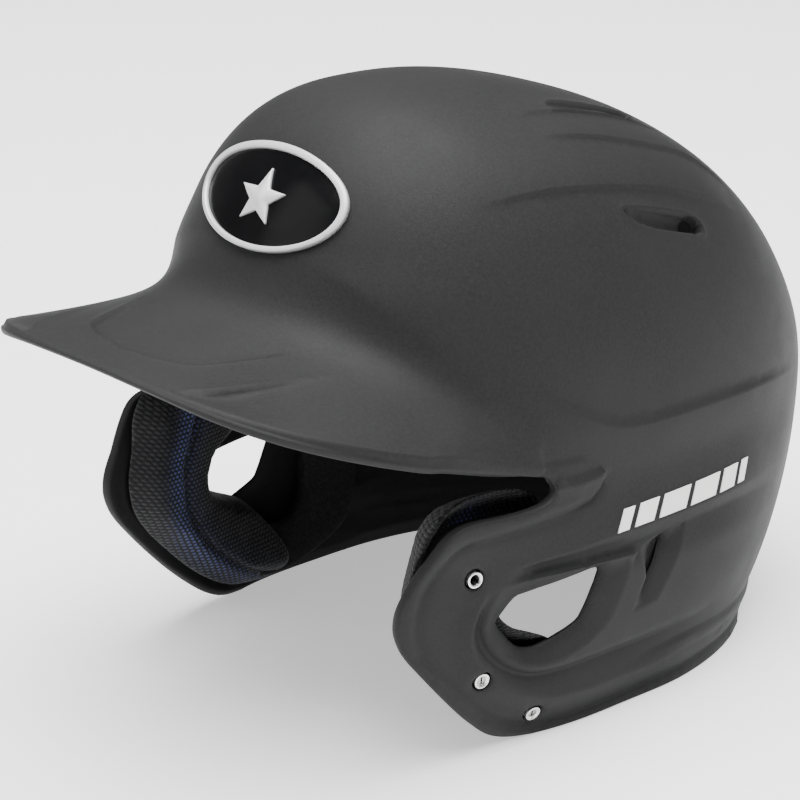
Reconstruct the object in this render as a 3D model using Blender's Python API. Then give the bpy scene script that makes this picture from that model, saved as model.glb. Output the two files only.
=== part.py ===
"""Batting helmet: one moulded shell with brim and two ear flaps, threaded inserts, padded liner and trim.

Frame, in metres: +Z up, brim towards -Y, the wearer's left at +X, resting on the flap bottoms and the rear rim.
"""

import math

import bmesh
import bpy
import numpy as np
from mathutils import Vector
from mathutils.geometry import delaunay_2d_cdt

MM = 0.001

# Dome: half axes of the widest section, the heights of that section and of the crown.
HALF_WIDTH = 0.0965
FRONT_REACH = 0.1035
BACK_REACH = 0.151
CENTRE_Y = 0.0147
WIDEST_Z = 0.090
CROWN_Z = 0.223
CROWN_SHIFT = -0.0264
PLAN_POWER = 2.45
LONG_POWER = 2.08
SIDE_POWER = 2.44
# Below the widest section the sides and the nape draw in. The flaps run further forward than the forehead.
SIDE_TUCK = 0.0065
NAPE_TUCK = 0.040
BROW_FULLNESS = 0.0025
BACK_FULLNESS = 0.0014
# Around the ears the wall stands out by a share of its radius, over a band of headings and of heights.
EAR_BULGE = 0.042
LIP_FLARE = 0.003
LIP_HEIGHT = 0.013
FLAP_LOWEST_REACH = -0.014
FLAP_REACH = 0.092
FLAP_TOP_REACH = 0.045

# Brim: plan curve of its edge, edge height at the tip and its slope, and the brow line where it starts.
BRIM_HALF_WIDTH = 0.101
BRIM_END_Y = -0.031
BRIM_TIP_Y = -0.148
BRIM_POWER = 3.45
BRIM_TIP_Z = 0.1478
BRIM_SLOPE = 0.337
BRIM_DROP = 0.0057
BROW_Z = 0.151
TEMPLE_Z = 0.106
TEMPLE_ANGLE = math.radians(66)
BROW_POWER = 2.8
BRIM_FILLET = 0.026
TEMPLE_FILLET = 0.009
BRIM_END_BLEND = math.radians(14)
EDGE_LEVEL = 0.098

# The outlines below count y from the ears. The finished part moves so that its origin is under its middle.
MIDDLE_Y = 0.00927

# The rim is level from the flaps back, and rises a little over the nape.
NAPE_RISE = 0.003
NAPE_RISE_ANGLE = math.radians(135)

SHELL_THICKNESS = 0.0032
SHELL_CELL = 0.0105
GAP = 0.0004

# Outlines on the side of the shell, as (y, z) in millimetres, for the wearer's left.
FACE_OPENING = [(-25.5, 97), (-24.3, 95.3), (-25.3, 93.3), (-29, 92), (-38, 91.7), (-48, 92.2), (-57, 93),
                (-64, 92.6), (-69.5, 90), (-74.3, 84), (-81, 75), (-85.8, 67), (-87.2, 61), (-86.8, 56),
                (-83.5, 48)]
FLAP_BOTTOM = [(-75.8, 38.2), (-67, 27.7), (-57.6, 17.5), (-48.2, 9), (-41.5, 4.3), (-34, 1.2), (-24, 0)]
EAR_HOLE = [(-45.8, 50), (-44.7, 52), (-39.3, 58), (-36, 59.4), (-6, 61), (-1, 60.7), (-0.3, 58.5),
            (-8, 43.5), (-11, 41), (-27, 36.4), (-34, 37), (-38.5, 40)]
REAR_SLOT = [(26.5, 65), (32.5, 65.5), (24, 49), (18, 45)]
# Vents higher up, as (angle from the front in degrees, height in millimetres).
SIDE_VENT = [(120, 171), (127.3, 167.3), (128.6, 172), (121, 175)]
TOP_VENT = [(141, 207.8), (150, 201), (150.5, 204), (142.5, 210)]

# Threaded inserts, as (y, z) in millimetres: two down the front of the flap and one by its lower edge.
INSERTS = {"upper": (-56.6, 71.2), "middle": (-52, 31.2), "lower": (-26.6, 9.8)}
BARREL_RADIUS = 0.0030
THREAD_RADIUS = 0.0017
BORE_RADIUS = 0.0036
FLANGE_RADIUS = 0.0048
FLANGE_THICKNESS = 0.0012
FLANGE_GAP = 0.0007
BARREL_PROUD = 0.0003

# Pads: depths below the shell's outer surface where the foam and the fabric-covered layer start and end.
FOAM_DEPTH = 0.0037
JAW_FOAM_DEPTH = 0.0058
FRONT_FOAM_DEPTH = 0.0060
FOAM_THICKNESS = 0.0065
COMFORT_THICKNESS = 0.0082
PAD_CELL = 0.015
PAD_GAP = 0.0012

JAW_PAD = [(-28, 88), (-48, 88.3), (-60, 87.5), (-66, 81), (-75, 69), (-78.5, 61), (-77, 52), (-67, 33.5),
           (-53.5, 17), (-42, 6.5), (-33, 2), (-14, 0.8), (-4, 3), (-3, 12), (-8, 21), (-14, 27.5),
           (-22, 31), (-33, 33), (-44, 39), (-48.5, 47), (-47, 56), (-40, 63.5), (-31, 67), (-25, 73)]
JAW_FABRIC = [(-31, 85), (-48, 85), (-58, 84), (-63, 78), (-71.5, 67), (-74.5, 60), (-73, 52), (-64, 35),
              (-52, 18.5), (-41, 7.5), (-32, 2.2), (-14, 0.8), (-5, 3.5), (-5, 12), (-10, 19), (-16, 24),
              (-23, 27.5), (-34.5, 29.5), (-47, 36.5), (-52.5, 46), (-51, 58), (-43, 67), (-34, 70.5),
              (-28, 75)]

BADGE_Z = 0.1895
BADGE_HALF_WIDTH = 0.0385
BADGE_HALF_HEIGHT = 0.0168
BADGE_RING = 0.0042
PLATE_THICKNESS = 0.0008
TRIM_THICKNESS = 0.0007
STAR_POINTS = 5
STAR_OUTER = 0.0105
STAR_INNER = 0.0046

STRIPE_THICKNESS = 0.0005
STRIPE = [(5, 72.4), (80, 71.8), (80.3, 73.3), (74, 73.4), (76, 80), (66, 80.4), (64, 73.5), (59, 73.6),
          (61, 80.6), (45, 81), (43, 73.8), (38, 73.9), (40, 81.1), (19, 81.3), (17, 74.2), (12, 74.3),
          (14, 81.3), (7, 81.4)]


def clear_scene():
    for obj in list(bpy.data.objects):
        bpy.data.objects.remove(obj, do_unlink=True)


def smooth(t):
    t = np.clip(t, 0, 1)
    return t * t * (3 - 2 * t)


def polar_radius(angle, side, ahead, behind, power):
    """Distance from the centre to a rounded outline, at an angle from straight ahead."""
    long_axis = np.where(np.cos(angle) > 0, ahead, behind)
    spread = np.abs(np.sin(angle)) / side
    length = np.abs(np.cos(angle)) / long_axis
    return (spread**power + length**power) ** (-1 / power)


def flap_reach(z):
    """How much further forward than the forehead a level section runs at a height of the ear flaps."""
    lower = FLAP_REACH * (1 - (1 - np.clip(z, 0, 0.055) / 0.055) ** 2.6)
    upper = FLAP_TOP_REACH * smooth((z - 0.072) / 0.022)
    return (FLAP_LOWEST_REACH + lower + upper) * smooth((0.126 - z) / 0.032)


def section(z):
    """Half axes and centre of the level section of the shell at a height."""
    up = np.clip((z - WIDEST_Z) / (CROWN_Z - WIDEST_Z), 0, 0.99999)
    down = np.clip((WIDEST_Z - z) / WIDEST_Z, 0, 1.2)
    long_scale = (1 - up**LONG_POWER) ** (1 / LONG_POWER)
    side_scale = (1 - up**SIDE_POWER) ** (1 / SIDE_POWER)
    side = HALF_WIDTH * side_scale - SIDE_TUCK * down**2.5
    brow = BROW_FULLNESS * smooth((0.180 - z) / 0.020) * smooth((z - 0.120) / 0.020)
    ahead = FRONT_REACH * long_scale + flap_reach(z) + brow
    lip = LIP_FLARE * smooth((LIP_HEIGHT - z) / LIP_HEIGHT)
    full = BACK_FULLNESS * smooth(1 - np.abs(z - 0.108) / 0.035)
    behind = BACK_REACH * long_scale - NAPE_TUCK * down**2 + lip + full
    return side, ahead, behind, CENTRE_Y + CROWN_SHIFT * up**2


def ear_bulge(angle, z):
    turn = np.degrees(np.abs(angle))
    around = smooth((turn - 48) / 28) * smooth((150 - turn) / 35)
    return EAR_BULGE * around * smooth(z / 0.046) * smooth((0.093 - z) / 0.030)


def wall(angle, z):
    """Point of the outer surface without the brim."""
    side, ahead, behind, centre = section(z)
    radius = polar_radius(angle, side, ahead, behind, PLAN_POWER) * (1 + ear_bulge(angle, z))
    return np.stack(np.broadcast_arrays(radius * np.sin(angle), centre - radius * np.cos(angle), z), -1)


def brim_edge(angle):
    share = angle / TEMPLE_ANGLE
    heading = 1.18 * angle + (math.pi / 2 - 1.18 * TEMPLE_ANGLE) * share**6
    depth = BRIM_END_Y - BRIM_TIP_Y
    radius = polar_radius(heading, BRIM_HALF_WIDTH, depth, depth, BRIM_POWER)
    x = radius * np.sin(heading)
    y = BRIM_END_Y - radius * np.cos(heading)
    z = BRIM_TIP_Z - BRIM_SLOPE * (y - BRIM_TIP_Y) - BRIM_DROP * (x / BRIM_HALF_WIDTH) ** 2
    free = np.stack([x, y, z], -1)
    blend = smooth((angle - TEMPLE_ANGLE + BRIM_END_BLEND) / BRIM_END_BLEND)[..., None]
    return free * (1 - blend) + wall(angle, np.full_like(angle, EDGE_LEVEL)) * blend


def surface(angle, level):
    """Point of the outer surface. Ahead of the temples, a level below the brow runs out along the brim."""
    angle, level = np.broadcast_arrays(np.asarray(angle, float), np.asarray(level, float))
    turned = np.clip(np.abs(angle), 0, TEMPLE_ANGLE)
    share = turned / TEMPLE_ANGLE
    corner_z = BROW_Z - (BROW_Z - TEMPLE_Z) * share**BROW_POWER
    start_z = corner_z + BRIM_FILLET + (TEMPLE_FILLET - BRIM_FILLET) * share**2.5
    t = np.clip((start_z - level) / (start_z - EDGE_LEVEL), 0, 1)[..., None]
    start, corner, edge = wall(turned, start_z), wall(turned, corner_z), brim_edge(turned)
    brim = (1 - t) ** 3 * start + 3 * t * (1 - t) * corner + t**3 * edge
    brim[..., 0] *= np.where(angle < 0, -1, 1)
    on_brim = (np.abs(angle) < TEMPLE_ANGLE) & (level < start_z) & (level >= EDGE_LEVEL - 0.0001)
    return np.where(on_brim[..., None], brim, wall(angle, level))


def normal(angle, level, shape=surface):
    angle, level = np.asarray(angle, float), np.asarray(level, float)
    step = 0.0004
    level = np.minimum(level, CROWN_Z - 2 * step)
    across = shape(angle + 0.004, level) - shape(angle - 0.004, level)
    rise = shape(angle, level + step) - shape(angle, level)
    found = np.cross(across, rise)
    return found / np.linalg.norm(found, axis=-1, keepdims=True)


def side_angle(y, z):
    """The angle at which the wearer's left side of the wall has this y."""
    side, ahead, behind, centre = section(z)
    angle = np.full_like(np.asarray(y, float), math.pi / 2)
    for _ in range(6):
        offset = (y - centre) / (1 + ear_bulge(angle, z))
        share = np.clip(np.abs(offset) / np.where(offset < 0, ahead, behind), 0, 1)
        angle = np.arctan2(side * (1 - share**PLAN_POWER) ** (1 / PLAN_POWER), -offset)
    return angle


def from_side(points):
    """(angle, level) pairs from (y, z) in millimetres."""
    points = np.array(points, float) * MM
    return np.stack([side_angle(points[:, 0], points[:, 1]), points[:, 1]], -1)


def from_degrees(points):
    points = np.array(points, float)
    return np.stack([np.radians(points[:, 0]), points[:, 1] * MM], -1)


def chart_radius():
    """Table of a flat chart of the shell: its radius grows with the way down from the crown."""
    levels = CROWN_Z - (CROWN_Z + 0.012) * np.linspace(0.01, 1, 600) ** 2
    track = wall(np.full_like(levels, math.pi / 2), levels)
    steps = np.linalg.norm(np.diff(track, axis=0), axis=1)
    side, ahead, behind, _ = section(levels)
    reach = (side + (FRONT_REACH + behind) / 2) / 2
    growth = np.concatenate([[0], np.cumsum(steps / reach[1:])])
    return levels, np.exp(growth) * 0.01


CHART_LEVELS, CHART_RADII = chart_radius()


def to_chart(points):
    radius = np.interp(-points[:, 1], -CHART_LEVELS, CHART_RADII)
    crown = points[:, 1] > CHART_LEVELS[0]
    radius = np.where(crown, 0, radius)
    return np.stack([radius * np.sin(points[:, 0]), -radius * np.cos(points[:, 0])], -1)


def inside(flat, loop):
    found = np.zeros(len(flat), bool)
    for (x1, y1), (x2, y2) in zip(loop, np.roll(loop, -1, axis=0)):
        crosses = (y1 > flat[:, 1]) != (y2 > flat[:, 1])
        height = np.where(y2 == y1, 1, y2 - y1)
        found ^= crosses & (flat[:, 0] < (x2 - x1) * (flat[:, 1] - y1) / height + x1)
    return found


def resampled(points, cell, closed=True):
    """An outline in (angle, level) with points added so that no side is much longer than a cell."""
    ends = np.roll(points, -1, axis=0) if closed else points[1:]
    result = []
    for start, end in zip(points, ends):
        length = np.linalg.norm(surface(*start) - surface(*end))
        count = max(1, round(length / cell))
        for i in range(count):
            result.append(start + (end - start) * i / count)
    if not closed:
        result.append(points[-1])
    return np.array(result)


def grid_points(cell, shape):
    """Staggered points over the whole chart at an even spacing on the surface."""
    found = []
    reach = wall(np.full_like(CHART_LEVELS, math.pi / 2), CHART_LEVELS)
    way = np.concatenate([[0], np.cumsum(np.linalg.norm(np.diff(reach, axis=0), axis=1))])
    for ring in range(1, int(way[-1] / (0.87 * cell))):
        level = np.interp(ring * 0.87 * cell, way, CHART_LEVELS)
        angles = np.linspace(-math.pi, math.pi, 721)
        lengths = np.linalg.norm(np.diff(shape(angles, np.full_like(angles, level)), axis=0), axis=1)
        total = np.concatenate([[0], np.cumsum(lengths)])
        count = max(3, round(total[-1] / cell))
        places = (np.arange(count) + 0.5 * (ring % 2)) * total[-1] / count
        for angle in np.interp(places, total, angles):
            found.append((angle, level))
    return np.array(found)


def sheet(outline, holes, cell, shape, edge_share=0.6):
    """Triangles over an outlined area of the chart: ((angle, level) of each point, triangles)."""
    loops = [resampled(outline, cell)] + [resampled(hole, cell) for hole in holes]
    edges_3d = np.concatenate([shape(loop[:, 0], loop[:, 1]) for loop in loops])
    flat_loops = [to_chart(loop) for loop in loops]
    candidates = grid_points(cell, shape)
    flat = to_chart(candidates)
    keep = inside(flat, flat_loops[0])
    for loop in flat_loops[1:]:
        keep &= ~inside(flat, loop)
    candidates, flat = candidates[keep], flat[keep]
    places = shape(candidates[:, 0], candidates[:, 1])
    nearest = np.array([np.linalg.norm(edges_3d - place, axis=1).min() for place in places])
    candidates, flat = candidates[nearest > edge_share * cell], flat[nearest > edge_share * cell]
    points = np.concatenate(loops + [candidates])
    flat = np.concatenate(flat_loops + [flat])
    edges, start = [], 0
    for loop in loops:
        edges += [(start + i, start + (i + 1) % len(loop)) for i in range(len(loop))]
        start += len(loop)
    made = delaunay_2d_cdt([Vector(p) for p in flat * 100], edges, [], 0, 1e-6)
    corners = np.array([tuple(v) for v in made[0]]) / 100
    faces = np.array([face for face in made[2]])
    centres = corners[faces].mean(axis=1)
    keep = inside(centres, flat_loops[0])
    for loop in flat_loops[1:]:
        keep &= ~inside(centres, loop)
    owners = [ids[0] for ids in made[3]]
    return points[owners], faces[keep]


def principled(name, color, roughness, metallic=0.0):
    material = bpy.data.materials.new(name)
    material.use_nodes = True
    shader = material.node_tree.nodes["Principled BSDF"]
    shader.inputs["Base Color"].default_value = (*color, 1)
    shader.inputs["Roughness"].default_value = roughness
    shader.inputs["Metallic"].default_value = metallic
    return material


def add_object(name, vertices, faces, material):
    mesh = bpy.data.meshes.new(name)
    mesh.from_pydata([tuple(v) for v in vertices], [], [tuple(f) for f in faces])
    shaded = bmesh.new()
    shaded.from_mesh(mesh)
    bmesh.ops.recalc_face_normals(shaded, faces=shaded.faces)
    shaded.to_mesh(mesh)
    shaded.free()
    mesh.materials.append(material)
    mesh.shade_smooth()
    obj = bpy.data.objects.new(name, mesh)
    bpy.context.scene.collection.objects.link(obj)
    return obj


def slab(name, outline, depth, thickness, cell, material, shape=wall, holes=(), side=1):
    """A closed layer that follows the shell, from a depth under its outer surface to depth + thickness."""
    points, faces = sheet(outline, holes, cell, shape)
    places = shape(points[:, 0], points[:, 1])
    directions = normal(points[:, 0], points[:, 1], shape)
    outer = places - directions * depth
    inner = places - directions * (depth + thickness)
    vertices = np.concatenate([outer, inner])
    vertices[:, 0] *= side
    count = len(points)
    sides = np.concatenate([faces[:, [0, 1]], faces[:, [1, 2]], faces[:, [2, 0]]])
    _, index, uses = np.unique(np.sort(sides, axis=1), axis=0, return_index=True, return_counts=True)
    rim = sides[index[uses == 1]]
    walls = [(a, a + count, b + count, b) for a, b in rim]
    solid = [tuple(f) for f in faces] + [tuple(f[::-1] + count) for f in faces] + walls
    return add_object(name, vertices, solid, material)


def mirrored(points):
    """Both halves of an outline that starts at the front centre and ends at the rear centre."""
    other = points[::-1].copy()
    other[:, 0] *= -1
    return np.concatenate([points, other[1:-1]])


def shell_outline():
    front = np.stack([np.linspace(0, TEMPLE_ANGLE, 12), np.full(12, EDGE_LEVEL)], -1)
    flap = from_side(FACE_OPENING + FLAP_BOTTOM)
    angles = np.linspace(flap[-1, 0], math.pi, 16)[1:]
    rise = NAPE_RISE * smooth((angles - NAPE_RISE_ANGLE) / (math.pi - NAPE_RISE_ANGLE))
    return mirrored(np.concatenate([front, flap, np.stack([angles, rise], -1)]))


def insert_frame(y, z):
    """Centre on the outer surface and the outward direction of an insert at (y, z) in millimetres."""
    (angle, level), = from_side([(y, z)])
    return surface(angle, level), normal(angle, level)


def bore_outline(y, z):
    centre, outward = insert_frame(y, z)
    up = np.array([0, 0, 1]) - outward * outward[2]
    up /= np.linalg.norm(up)
    across = np.cross(up, outward)
    turns = np.arange(12) * math.tau / 12
    ring = centre + BORE_RADIUS * (np.cos(turns)[:, None] * across + np.sin(turns)[:, None] * up)
    return np.stack([side_angle(ring[:, 1], ring[:, 2]), ring[:, 2]], -1)


def on_both_sides(outline):
    other = outline[::-1].copy()
    other[:, 0] *= -1
    return [outline, other]


def add_shell(material):
    left = [from_side(EAR_HOLE), from_side(REAR_SLOT), from_degrees(SIDE_VENT), from_degrees(TOP_VENT)]
    left += [bore_outline(*place) for place in INSERTS.values()]
    holes = [hole for outline in left for hole in on_both_sides(outline)]
    slab("shell", shell_outline(), 0, SHELL_THICKNESS, SHELL_CELL, material, surface, holes)


def turned(name, profile, material):
    """A closed ring turned about its own Z from (radius, height) pairs."""
    count = 24
    vertices, faces = [], []
    for turn in range(count):
        angle = turn * math.tau / count
        for radius, height in profile:
            vertices.append((radius * math.cos(angle), radius * math.sin(angle), height))
    size = len(profile)
    for turn in range(count):
        for i in range(size):
            j = (i + 1) % size
            ahead = (turn + 1) % count
            faces.append((turn * size + i, ahead * size + i, ahead * size + j, turn * size + j))
    return add_object(name, vertices, faces, material)


def add_inserts(material):
    flange_top = -SHELL_THICKNESS - FLANGE_GAP
    flange_bottom = flange_top - FLANGE_THICKNESS
    profile = [(THREAD_RADIUS, BARREL_PROUD), (BARREL_RADIUS, BARREL_PROUD), (BARREL_RADIUS, flange_top),
               (FLANGE_RADIUS, flange_top), (FLANGE_RADIUS, flange_bottom), (THREAD_RADIUS, flange_bottom)]
    for place, (y, z) in INSERTS.items():
        centre, outward = insert_frame(y, z)
        for side, suffix in ((1, "left"), (-1, "right")):
            obj = turned(f"insert_{place}_{suffix}", profile, material)
            mirror = Vector((side, 1, 1))
            obj.location = Vector(centre) * mirror
            direction = Vector(outward) * mirror
            obj.rotation_euler = direction.to_track_quat("Z", "Y").to_euler()


def patch(first_angle, last_angle, low, high, corner=0.2):
    """A rounded patch in (angle, level) between two angles in degrees and two heights in metres."""
    middle = np.array([(first_angle + last_angle) / 2, (low + high) / 2])
    half = np.array([(last_angle - first_angle) / 2, (high - low) / 2])
    turns = np.arange(20) * math.tau / 20 + math.tau / 40
    circle = np.stack([np.cos(turns), np.sin(turns)], -1)
    power = 2 / (2 + 1 / corner)
    points = middle + half * np.sign(circle) * np.abs(circle) ** power
    points[:, 0] = np.radians(points[:, 0])
    return points


def crown_patch(half_width, half_length):
    """A patch over the crown. Its angles run once round it."""
    turns = np.arange(24) * math.tau / 24 - math.pi
    size = ((np.sin(turns) / half_width) ** 2 + (np.cos(turns) / half_length) ** 2) ** -0.5
    levels = np.linspace(CROWN_Z - 0.0001, WIDEST_Z, 300)
    found = []
    for turn, reach in zip(turns, size):
        places = wall(np.full_like(levels, turn), levels)
        found.append((turn, np.interp(reach, np.hypot(places[:, 0], places[:, 1] - places[0, 1]), levels)))
    return np.array(found)


def add_pad(name, foam_outline, fabric_outline, foam_depth, foam_material, fabric_material, side=1):
    """A foam block against the shell and the smaller fabric-covered layer on it."""
    slab(f"{name}_foam", foam_outline, foam_depth, FOAM_THICKNESS, PAD_CELL, foam_material, side=side)
    depth = foam_depth + FOAM_THICKNESS + PAD_GAP
    slab(f"{name}_comfort", fabric_outline, depth, COMFORT_THICKNESS, PAD_CELL, fabric_material, side=side)


def add_pads(foam, fabric):
    jaw_foam, jaw_fabric = from_side(JAW_PAD), from_side(JAW_FABRIC)
    side_foam, side_fabric = patch(72, 116, 0.102, 0.160), patch(74, 114, 0.105, 0.157)
    for side, suffix in ((1, "left"), (-1, "right")):
        add_pad(f"jaw_{suffix}", jaw_foam, jaw_fabric, JAW_FOAM_DEPTH, foam, fabric, side)
        add_pad(f"side_{suffix}", side_foam, side_fabric, FOAM_DEPTH, foam, fabric, side)
    front_foam, front_fabric = patch(-50, 50, 0.153, 0.189), patch(-46, 46, 0.156, 0.186)
    add_pad("front", front_foam, front_fabric, FRONT_FOAM_DEPTH, foam, fabric)
    add_pad("crown", crown_patch(0.036, 0.050), crown_patch(0.032, 0.046), FOAM_DEPTH, foam, fabric)
    rear_foam, rear_fabric = patch(142, 218, 0.050, 0.128), patch(145, 215, 0.053, 0.125)
    add_pad("rear", rear_foam, rear_fabric, FOAM_DEPTH, foam, fabric)


def badge_point(x, z):
    side, ahead, behind, centre = section(z)
    ahead_by = ahead * (1 - np.clip(np.abs(x) / side, 0, 1) ** PLAN_POWER) ** (1 / PLAN_POWER)
    return np.stack([np.arctan2(x, ahead_by), z], -1)


def oval(shrink):
    turns = np.arange(32) * math.tau / 32
    half_height = BADGE_HALF_HEIGHT - shrink * 0.75
    return badge_point((BADGE_HALF_WIDTH - shrink) * np.cos(turns), BADGE_Z + half_height * np.sin(turns))


def star():
    turns = np.arange(2 * STAR_POINTS) * math.pi / STAR_POINTS
    reach = np.where(np.arange(2 * STAR_POINTS) % 2 == 0, STAR_OUTER, STAR_INNER)
    return badge_point(reach * np.sin(turns), BADGE_Z + 0.75 * reach * np.cos(turns))


def add_badge(silver, black):
    plate_top = -GAP - PLATE_THICKNESS
    slab("badge_plate", oval(0), plate_top, PLATE_THICKNESS, 0.008, black)
    trim_top = plate_top - GAP - TRIM_THICKNESS
    slab("badge_ring", oval(0), trim_top, TRIM_THICKNESS, 0.008, silver, holes=[oval(BADGE_RING)])
    slab("badge_star", star(), trim_top, TRIM_THICKNESS, 0.008, silver)


def add_stripes(material):
    for side, suffix in ((1, "left"), (-1, "right")):
        top = -GAP - STRIPE_THICKNESS
        slab(f"stripe_{suffix}", from_side(STRIPE), top, STRIPE_THICKNESS, 0.02, material, side=side)


def main():
    clear_scene()
    shell = principled("matte_charcoal_plastic", (0.045, 0.045, 0.047), 0.55)
    steel = principled("zinc_plated_steel", (0.72, 0.72, 0.72), 0.25, 1.0)
    foam = principled("black_foam", (0.012, 0.012, 0.013), 0.9)
    fabric = principled("black_mesh_fabric", (0.015, 0.016, 0.022), 0.85)
    silver = principled("silver_trim", (0.62, 0.62, 0.62), 0.4, 0.3)
    black = principled("gloss_black_plate", (0.006, 0.006, 0.006), 0.08)
    white = principled("white_print", (0.85, 0.85, 0.85), 0.5)
    add_shell(shell)
    add_inserts(steel)
    add_pads(foam, fabric)
    add_badge(silver, black)
    add_stripes(white)
    for obj in bpy.context.scene.collection.objects:
        obj.location.y -= MIDDLE_Y


main()
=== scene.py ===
"""Looks of the batting helmet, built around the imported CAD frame.

The shell's outer surface is the same set of curves that the CAD shell follows. Its creases, recesses and
rims are worked into a much finer mesh. Pads are blown up by a cloth simulation and then sewn.
"""

import math

import bmesh
import bpy
import numpy as np
from mathutils import Matrix, Vector, kdtree
from mathutils.geometry import delaunay_2d_cdt


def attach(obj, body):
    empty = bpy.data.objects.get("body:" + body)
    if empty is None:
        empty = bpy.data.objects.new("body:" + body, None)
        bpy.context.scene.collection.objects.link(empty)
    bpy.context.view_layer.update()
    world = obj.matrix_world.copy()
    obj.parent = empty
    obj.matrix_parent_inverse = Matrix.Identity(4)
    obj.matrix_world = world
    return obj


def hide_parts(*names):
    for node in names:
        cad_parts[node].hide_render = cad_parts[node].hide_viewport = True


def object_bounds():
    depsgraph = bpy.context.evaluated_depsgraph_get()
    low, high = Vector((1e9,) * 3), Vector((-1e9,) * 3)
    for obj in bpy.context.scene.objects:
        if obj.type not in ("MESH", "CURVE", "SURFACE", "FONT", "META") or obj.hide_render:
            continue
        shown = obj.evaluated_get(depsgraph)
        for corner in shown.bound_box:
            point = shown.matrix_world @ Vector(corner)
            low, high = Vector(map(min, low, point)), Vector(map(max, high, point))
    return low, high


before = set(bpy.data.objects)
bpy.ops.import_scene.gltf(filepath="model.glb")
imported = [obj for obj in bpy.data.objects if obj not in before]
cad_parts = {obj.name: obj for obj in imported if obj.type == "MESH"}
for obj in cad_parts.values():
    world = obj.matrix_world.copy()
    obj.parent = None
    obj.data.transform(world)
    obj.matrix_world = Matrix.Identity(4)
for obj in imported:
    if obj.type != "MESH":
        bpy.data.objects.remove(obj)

CAD_BOUNDS = [[float(x) for x in corner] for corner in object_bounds()]
MM = 0.001
FAR = 1e9
SIDES = ((1, "left"), (-1, "right"))

# Dome: half axes of the widest section, the heights of that section and of the crown.
HALF_WIDTH = 0.0965
FRONT_REACH = 0.1035
BACK_REACH = 0.151
CENTRE_Y = 0.0147
WIDEST_Z = 0.090
CROWN_Z = 0.223
CROWN_SHIFT = -0.0264
PLAN_POWER = 2.45
LONG_POWER = 2.08
SIDE_POWER = 2.44
# Below the widest section the sides and the nape draw in. The flaps run further forward than the forehead.
SIDE_TUCK = 0.0065
NAPE_TUCK = 0.040
BROW_FULLNESS = 0.0025
BACK_FULLNESS = 0.0014
# Around the ears the wall stands out by a share of its radius, over a band of headings and of heights.
EAR_BULGE = 0.042
LIP_FLARE = 0.003
LIP_HEIGHT = 0.013
FLAP_LOWEST_REACH = -0.014
FLAP_REACH = 0.092
FLAP_TOP_REACH = 0.045

# Brim: plan curve of its edge, edge height at the tip and its slope, and the brow line where it starts.
BRIM_HALF_WIDTH = 0.101
BRIM_END_Y = -0.031
BRIM_TIP_Y = -0.148
BRIM_POWER = 3.45
BRIM_TIP_Z = 0.1478
BRIM_SLOPE = 0.337
BRIM_DROP = 0.0057
BROW_Z = 0.151
TEMPLE_Z = 0.106
TEMPLE_ANGLE = math.radians(66)
BROW_POWER = 2.8
BRIM_FILLET = 0.026
TEMPLE_FILLET = 0.009
BRIM_END_BLEND = math.radians(14)
EDGE_LEVEL = 0.098

# The rim is level from the flaps back, and rises a little over the nape.
NAPE_RISE = 0.003
NAPE_RISE_ANGLE = math.radians(135)

SHELL_THICKNESS = 0.0032
# Outlines on the side of the shell, as (y, z) in millimetres, for the wearer's left.
FLAP_FRONT = [(-38, 91.7), (-48, 92.2), (-57, 93), (-64, 92.6), (-69.5, 90), (-74.3, 84), (-81, 75),
              (-85.8, 67), (-87.2, 61), (-86.8, 56), (-83.5, 48)]
FLAP_BOTTOM = [(-75.8, 38.2), (-67, 27.7), (-57.6, 17.5), (-48.2, 9), (-41.5, 4.3), (-34, 1.2), (-24, 0)]
EAR_HOLE = [(-45.8, 50), (-44.7, 52), (-39.3, 58), (-36, 59.4), (-6, 61), (-1, 60.7), (-0.3, 58.5), (-8, 43.5),
            (-11, 41), (-27, 36.4), (-34, 37), (-38.5, 40)]
REAR_SLOT = [(26.5, 65), (32.5, 65.5), (24, 49), (18, 45)]
# Vents higher up, as (angle from the front in degrees, height in millimetres).
TOP_VENT = [(141, 207.8), (150, 201), (150.5, 204), (142.5, 210)]

# Threaded inserts, as (y, z) in millimetres: two down the front of the flap and one by its lower edge.
INSERTS = {"upper": (-56.6, 71.2), "middle": (-52, 31.2), "lower": (-26.6, 9.8)}
BARREL_RADIUS = 0.0030
THREAD_RADIUS = 0.0017
THREAD_PITCH = 0.00050
INSERT_TOP = 0.0004
SLOT_FLOOR = -0.0011
SLOT_HALF = 0.00028
BORE_RADIUS = 0.0036

# Pads: depths below the shell's outer surface where the foam and the fabric-covered layer start and end.
FOAM_DEPTH = 0.0037
JAW_FOAM_DEPTH = 0.0058
FRONT_FOAM_DEPTH = 0.0060
FOAM_THICKNESS = 0.0065
FOAM_CELL = 0.0040
COMFORT_THICKNESS = 0.0082
PAD_CELL = 0.0036
PAD_EDGE = 0.0022
PAD_PRESSURE = 4.0
CLOTH_FRAMES = 20


BADGE_Z = 0.1895
BADGE_HALF_WIDTH = 0.0385
BADGE_HALF_HEIGHT = 0.0168
BADGE_RING = 0.0030
CROWN_REACH = 0.012
STAR_POINTS = 5
STAR_OUTER = 0.0122
STAR_INNER = 0.0053
STAR_LIFT, STAR_BACK, STAR_RISE, STAR_PITCH = 0.0021, 0.0008, 0.0011, 0.30
STAR_CELL, STAR_ROUND = 0.0009, 0.0003

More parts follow.
